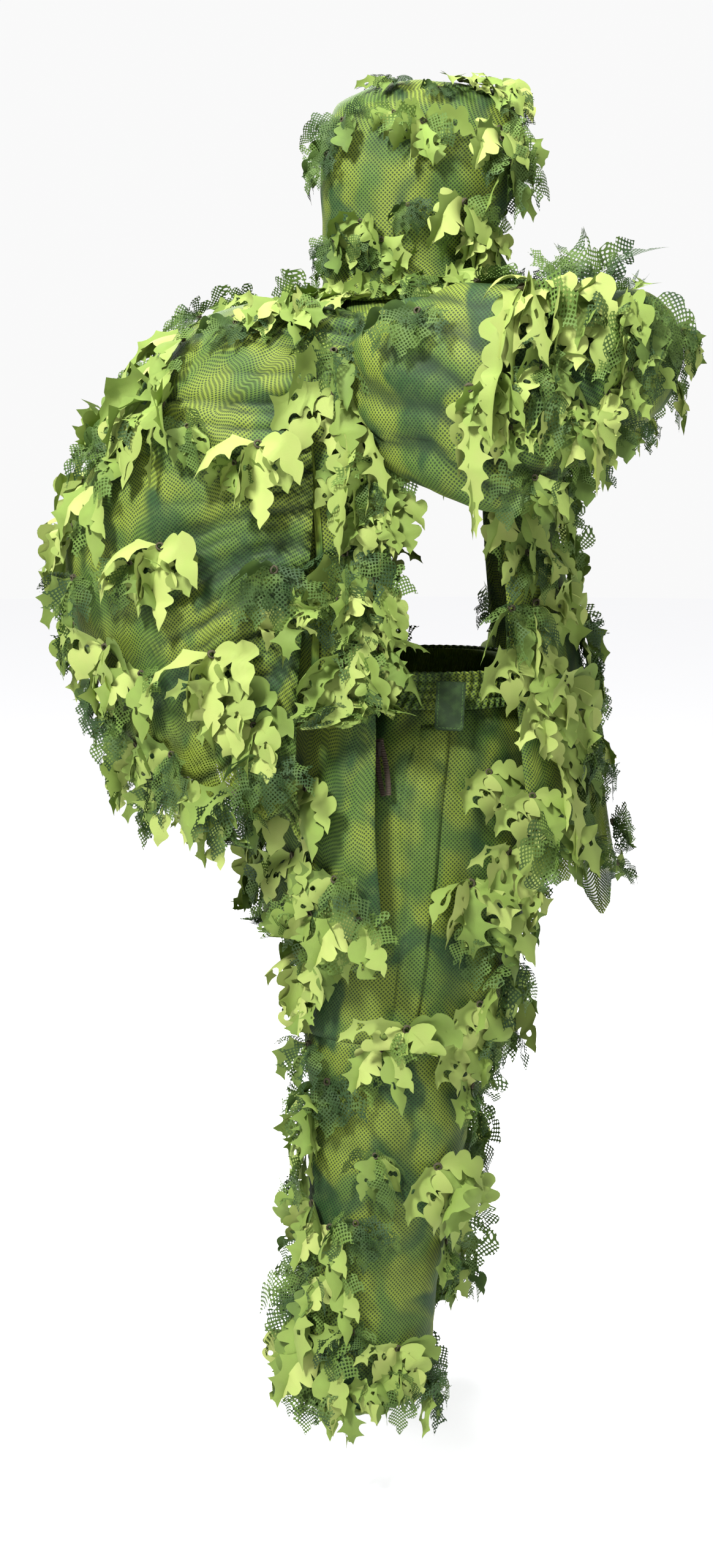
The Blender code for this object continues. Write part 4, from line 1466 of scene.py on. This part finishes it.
def makePouch():
    form = Form((
        level(1.566, -0.146, 0, 0.012, 0.040, 2.2),
        level(1.556, -0.146, 0, 0.105, 0.130, 2.2),
        level(1.536, -0.146, 0, 0.165, 0.160, 2.3),
        level(1.494, -0.146, 0, 0.218, 0.196, 2.4),
        level(1.430, -0.144, 0, 0.272, 0.222, 2.4),
        level(1.350, -0.138, 0, 0.318, 0.230, 2.4),
        level(1.260, -0.134, 0, 0.348, 0.232, 2.4),
        level(1.170, -0.136, 0, 0.342, 0.236, 2.4),
        level(1.080, -0.140, 0, 0.310, 0.240, 2.4),
        level(0.990, -0.144, 0, 0.270, 0.240, 2.4),
        level(0.930, -0.146, 0, 0.234, 0.236, 2.4),
        level(0.872, -0.146, 0, 0.182, 0.230, 2.4),
    ))
    # the front edge leans forwards from the shoulders down to the band
    front = lambda along: 72.0 + 19.0 * smooth(2.9, 4.3, along) + 2.5 * smooth(5, 9, along)
    hem = lambda turn: 10.55 + 0.28 * np.sin(turn * 0.19) + 0.12 * np.sin(turn * 0.57)
    span = (front, lambda along: 360 - front(along))
    see = lambda p, t, a: 0.9 * smooth(8.2, 9.4, a)
    cover = makeSheet("pouchCover", form, span, (0.0, 11.0), pouchSet["cell"], bodyNet, pouchFolds, see=see,
                      hem=hem, halves=True)
    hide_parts("pouch_top", "pouch_back", "pouch_bottom", "left_gusset", "right_gusset")
    knots = placeKnots(cover["tree"], pouchMarks, -1)
    other = []
    for number, (x, z, size, kind) in enumerate(pouchMarks):
        other.append((x + 0.01, z - 0.012, size, "M" if kind == "N" and number % 3 else kind))
    knots += placeKnots(cover["tree"], other, 1)
    back = lambda centre, normal: centre.x < -0.30 and abs(centre.y) < 0.19
    top = lambda centre, normal: normal.z > 0.5 and centre.x > -0.34
    rim = lambda centre, normal: centre.z < -0.12 and centre.x < -0.2
    knots += scatterKnots(cover, 34, 0.082, back, "LLLMN", knots, "pouchBack")
    knots += scatterKnots(cover, 10, 0.085, top, "LMN", knots, "pouchTop")
    knots += scatterKnots(cover, 12, 0.070, rim, "LMN", knots, "pouchRim")
    leaves = tieBunches("pouchLeaves", knots, cover["tree"])
    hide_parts("pouch_leaves")
    for obj in (cover["obj"], leaves):
        bendBetween(obj, "jacket", "pouch_lip", pouchSet["lipBend"])


makePouch()
print("pouch")

hoodSet = {
    "cell": (0.0070, 0.0070),
    "faceTurn": 32.0,  # the face opening, in degrees each side of straight ahead
    "faceSpread": 9.0,
    "faceClose": 26,
    "faceTop": 2.35,  # the station where it starts
    "bend": (1.560, 1.640),
}

hoodMarks = [
    (-0.071, 1.842, 0.8, "L"), (-0.044, 1.841, 0.7, "N"), (0.041, 1.842, 0.9, "L"), (0.085, 1.830, 1.0, "L"),
    (0.120, 1.806, 1.0, "L"), (0.130, 1.778, 0.9, "M"), (-0.110, 1.792, 0.9, "N"), (-0.130, 1.751, 0.8, "N"),
    (-0.009, 1.787, 1.15, "L"), (-0.087, 1.663, 0.9, "L"), (-0.028, 1.683, 0.7, "N"), (0.042, 1.687, 1.1, "L"),
    (0.100, 1.736, 1.0, "N"), (0.070, 1.646, 0.8, "L"), (0.011, 1.831, 0.6, "N"), (0.100, 1.812, 0.8, "N"),
    (0.062, 1.660, 0.9, "L"), (-0.120, 1.640, 0.8, "N"), (-0.060, 1.640, 0.8, "M"),
]


def makeHood():
    form = Form((
        level(1.8440, -0.012, 0, 0.0004, 0.0004),
        level(1.842, -0.010, 0, 0.046, 0.036),
        level(1.834, -0.006, 0, 0.080, 0.064, 2.1),
        level(1.812, -0.002, 0, 0.112, 0.088, 2.2),
        level(1.775, 0.004, 0, 0.136, 0.104, 2.2),
        level(1.720, 0.002, 0, 0.139, 0.110, 2.2),
        level(1.660, -0.010, 0, 0.128, 0.108, 2.2),
        level(1.604, -0.012, 0, 0.124, 0.108, 2.1),
        level(1.562, -0.016, 0, 0.126, 0.134, 2.1),
    ))

    def faceEdge(along):
        down = np.clip((along - hoodSet["faceTop"]) / 1.1, 0, 1)
        spread = hoodSet["faceSpread"] * np.clip((along - 3.4) / 3, 0, 1)
        close = hoodSet["faceClose"] * smooth(6.2, 7.6, along)  # the opening narrows again under the chin
        return hoodSet["faceTurn"] * np.sqrt(down) + spread - close * (down > 0)

    def folds(points, turn, along, u, v):
        crown = smooth(0.2, 1.5, along)
        brim = 0.006 * np.exp(-np.abs(along - 3.0) / 0.5) * np.cos(np.radians(turn)) ** 2
        neck = 0.007 * smooth(5.5, 7.2, along) * softNoise(points, 15, (1, 1, 2.0), 6.0)
        return crown * softFolds(0.009, 10, (1, 1, 0.8), 14.0)(points, turn, along, u, v) + neck + brim

    span = (faceEdge, lambda along: 360 - faceEdge(along))
    shell = makeSheet("hoodShell", form, span, (0.0, 8.0), hoodSet["cell"], bodyNet, folds, closed=True)
    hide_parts("hood_crown", "hood_left", "hood_right")
    knots = placeKnots(shell["tree"], hoodMarks, -1)
    knots += placeKnots(shell["tree"], [(x - 0.008, *rest) for x, *rest in hoodMarks], 1)
    back = lambda centre, normal: normal.x < -0.5 and centre.z > 0.50
    brow = lambda centre, normal: centre.x > 0.09 and centre.z > 0.68
    top = lambda centre, normal: normal.z > 0.5
    knots += scatterKnots(shell, 9, 0.070, back, "LMN", knots, "hoodBack", (0.8, 1.0))
    knots += scatterKnots(shell, 4, 0.045, brow, "LLM", knots, "hoodBrow", (0.8, 1.0))
    knots += scatterKnots(shell, 5, 0.070, top, "LMN", knots, "hoodTop", (0.7, 0.9))
    leaves = tieBunches("hoodLeaves", knots, shell["tree"], 0.88)
    putOn(leaves, "hood", "hood_leaves")
    bendBetween(shell["obj"], "jacket", "hood", hoodSet["bend"])


makeHood()
print("hood")

sleeveSet = {
    "elbowOut": 0.297,
    "halfWidth": 0.060,
    "creasePitch": 0.055,
    "creaseDepth": 0.014,
    "broadFold": 0.011,
    "smallFold": 0.006,
    "shoulderBend": (0.195, 0.255),
    "elbowBend": ((0.200, 0.297, 0.390), (0.262, 0.262, 0.400)),
}

sleeveMarks = [
    (0.106, 1.566, 1.3, "R"), (0.127, 1.569, 1.0, "L"), (0.157, 1.560, 1.1, "L"), (0.207, 1.544, 1.1, "L"),
    (0.175, 1.580, 0.9, "N"), (0.230, 1.535, 1.1, "N"), (0.244, 1.540, 0.9, "N"), (0.231, 1.475, 1.0, "L"),
    (0.128, 1.475, 1.0, "M"), (0.043, 1.452, 1.3, "R"), (0.067, 1.447, 0.9, "L"), (0.138, 1.428, 0.9, "L"),
    (0.171, 1.428, 1.0, "M"), (0.190, 1.400, 0.8, "L"), (0.091, 1.405, 0.8, "L"), (0.204, 1.447, 0.9, "R"),
    (0.094, 1.577, 0.8, "L"), (0.141, 1.512, 0.9, "N"), (0.270, 1.500, 0.9, "N"), (0.165, 1.360, 0.9, "N"),
    (0.120, 1.345, 0.9, "M"), (0.215, 1.410, 0.8, "N"), (0.192, 1.556, 1.2, "U"), (0.160, 1.566, 0.8, "U"),
]


def makeSleeve(word, side):
    w, y = sleeveSet["halfWidth"], sleeveSet["elbowOut"]
    upperForm = Form((
        crossing((-0.006, 0.184, 1.452), (0, 0, 0.094), (-0.112, -0.010, 0), 2.3),
        crossing((0.000, 0.218, 1.450), (0, 0, 0.106), (-0.100, 0.004, 0), 2.3),
        crossing((0.020, 0.248, 1.446), (0, 0, 0.120), (-0.080, 0.026, 0), 2.2),
        crossing((0.055, 0.276, 1.443), (0, 0, 0.133), (-0.046, 0.050, 0), 2.1),
        crossing((0.104, y, 1.440), (0, 0, 0.136), (0, w, 0), 2.1),
        crossing((0.148, y, 1.456), (0, 0, 0.118), (0, w, 0), 2.1),
        crossing((0.190, y, 1.476), (0, 0, 0.096), (0.018, w, 0), 2.1),
    ), side)
    lowerForm = Form((
        crossing((0.150, y, 1.457), (0, 0, 0.115), (0.004, w - 0.002, 0), 2.1),
        crossing((0.190, y, 1.476), (0, 0, 0.094), (0.018, w - 0.002, 0), 2.1),
        crossing((0.226, y - 0.004, 1.483), (0, 0, 0.086), (0.038, 0.050, 0), 2.1),
        crossing((0.245, 0.262, 1.486), (0, 0, 0.080), (0.052, 0.030, 0), 2.1),
        crossing((0.250, 0.215, 1.487), (0, 0, 0.075), (0.054, 0.010, 0), 2.1),
        crossing((0.248, 0.130, 1.484), (0, 0, 0.066), (0.052, 0, 0), 2.1),
        crossing((0.246, 0.056, 1.480), (0, 0, 0.051), (0.048, 0, 0), 2.0),
        crossing((0.246, 0.019, 1.478), (0, 0, 0.045), (0.043, 0, 0), 2.0),
    ), side)

    def folds(points, turn, along, u, v):
        drawn = points[..., 2] + 0.55 * points[..., 0]  # creases run down and back from the elbow to the armpit
        phase = drawn / sleeveSet["creasePitch"] + 0.9 * softNoise(points, 8, (1, 1, 1), 2.2)
        crease = np.abs(np.sin(np.pi * phase)) ** 0.7 - 0.6
        low = smooth(1.50, 1.36, points[..., 2] + waistHeight)
        pull = sleeveSet["broadFold"] * softNoise(points, 10, (0.5, 1, 1.4), 15.0)
        pull += sleeveSet["smallFold"] * softNoise(points, 26, (0.6, 1, 1.2), 19.0)
        return (pull + sleeveSet["creaseDepth"] * crease * (0.35 + 0.65 * low)) * smooth(0.3, 1.6, along)

    def lowerFolds(points, turn, along, u, v):
        elbow = 0.009 * np.exp(-(((along - 2.2) / 1.4) ** 2)) * softNoise(points, 19, (1, 1, 0.7), 22.0)
        cuff = 0.003 * smooth(5.8, 6.6, along) * np.sin(2 * np.pi * u / 0.014 + 2 * softNoise(points, 25))
        ease = 0.006 * softNoise(points, 12, (1, 1.6, 1), 17.0) * smooth(0, 1.0, along)
        return elbow + cuff + ease

    cloth = (jacketSet["cell"], bodyNet)
    upper = makeSheet(f"{word}UpperSleeve", upperForm, fullTurn, (0.0, 6.0), *cloth, folds, closed=True)
    lower = makeSheet(f"{word}ForearmSleeve", lowerForm, fullTurn, (0.0, 6.55), *cloth, lowerFolds, closed=True)
    gathers = lambda p, t, a, u, v: 0.0015 + 0.0012 * np.sin(2 * np.pi * u / 0.008)
    cuff = makeSheet(f"{word}CuffElastic", lowerForm, fullTurn, (6.4, 7.0), (0.004, 0.004), elastic, gathers,
                     closed=True, thick=0.002)
    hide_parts(f"{word}_upper_sleeve")
    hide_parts(f"{word}_forearm_sleeve")
    putOn(cuff["obj"], f"{word}_forearm", f"{word}_cuff_elastic")
    high = [m for m in sleeveMarks if m[0] <= 0.195]
    knots = placeKnots(upper["tree"], high, side)
    shoulder = lambda centre, normal: normal.z > 0.4 and centre.x > -0.02
    knots += scatterKnots(upper, 4, 0.060, shoulder, "LMN", knots, word + "shoulder")
    upperLeaves = tieBunches(f"{word}SleeveLeaves", knots, upper["tree"], 0.95)
    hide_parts(f"{word}_sleeve_leaves")
    knots = placeKnots(lower["tree"], [m for m in sleeveMarks if m[0] > 0.195], side)
    outer = lambda centre, normal: normal.x > 0.25 or normal.z > 0.6
    knots += scatterKnots(lower, 12, 0.060, outer, "LMNN", knots, word + "forearm", (0.7, 0.95))
    knots = [k for k in knots if abs(k[0].y) > 0.07]
    lowerLeaves = tieBunches(f"{word}ForearmLeaves", knots, lower["tree"], 0.9)
    for obj in (upper["obj"], upperLeaves):
        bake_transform(obj)
    for obj in (lower["obj"], lowerLeaves):
        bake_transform(obj)


for word, side in sides.items():
    makeSleeve(word, side)
print("sleeves")
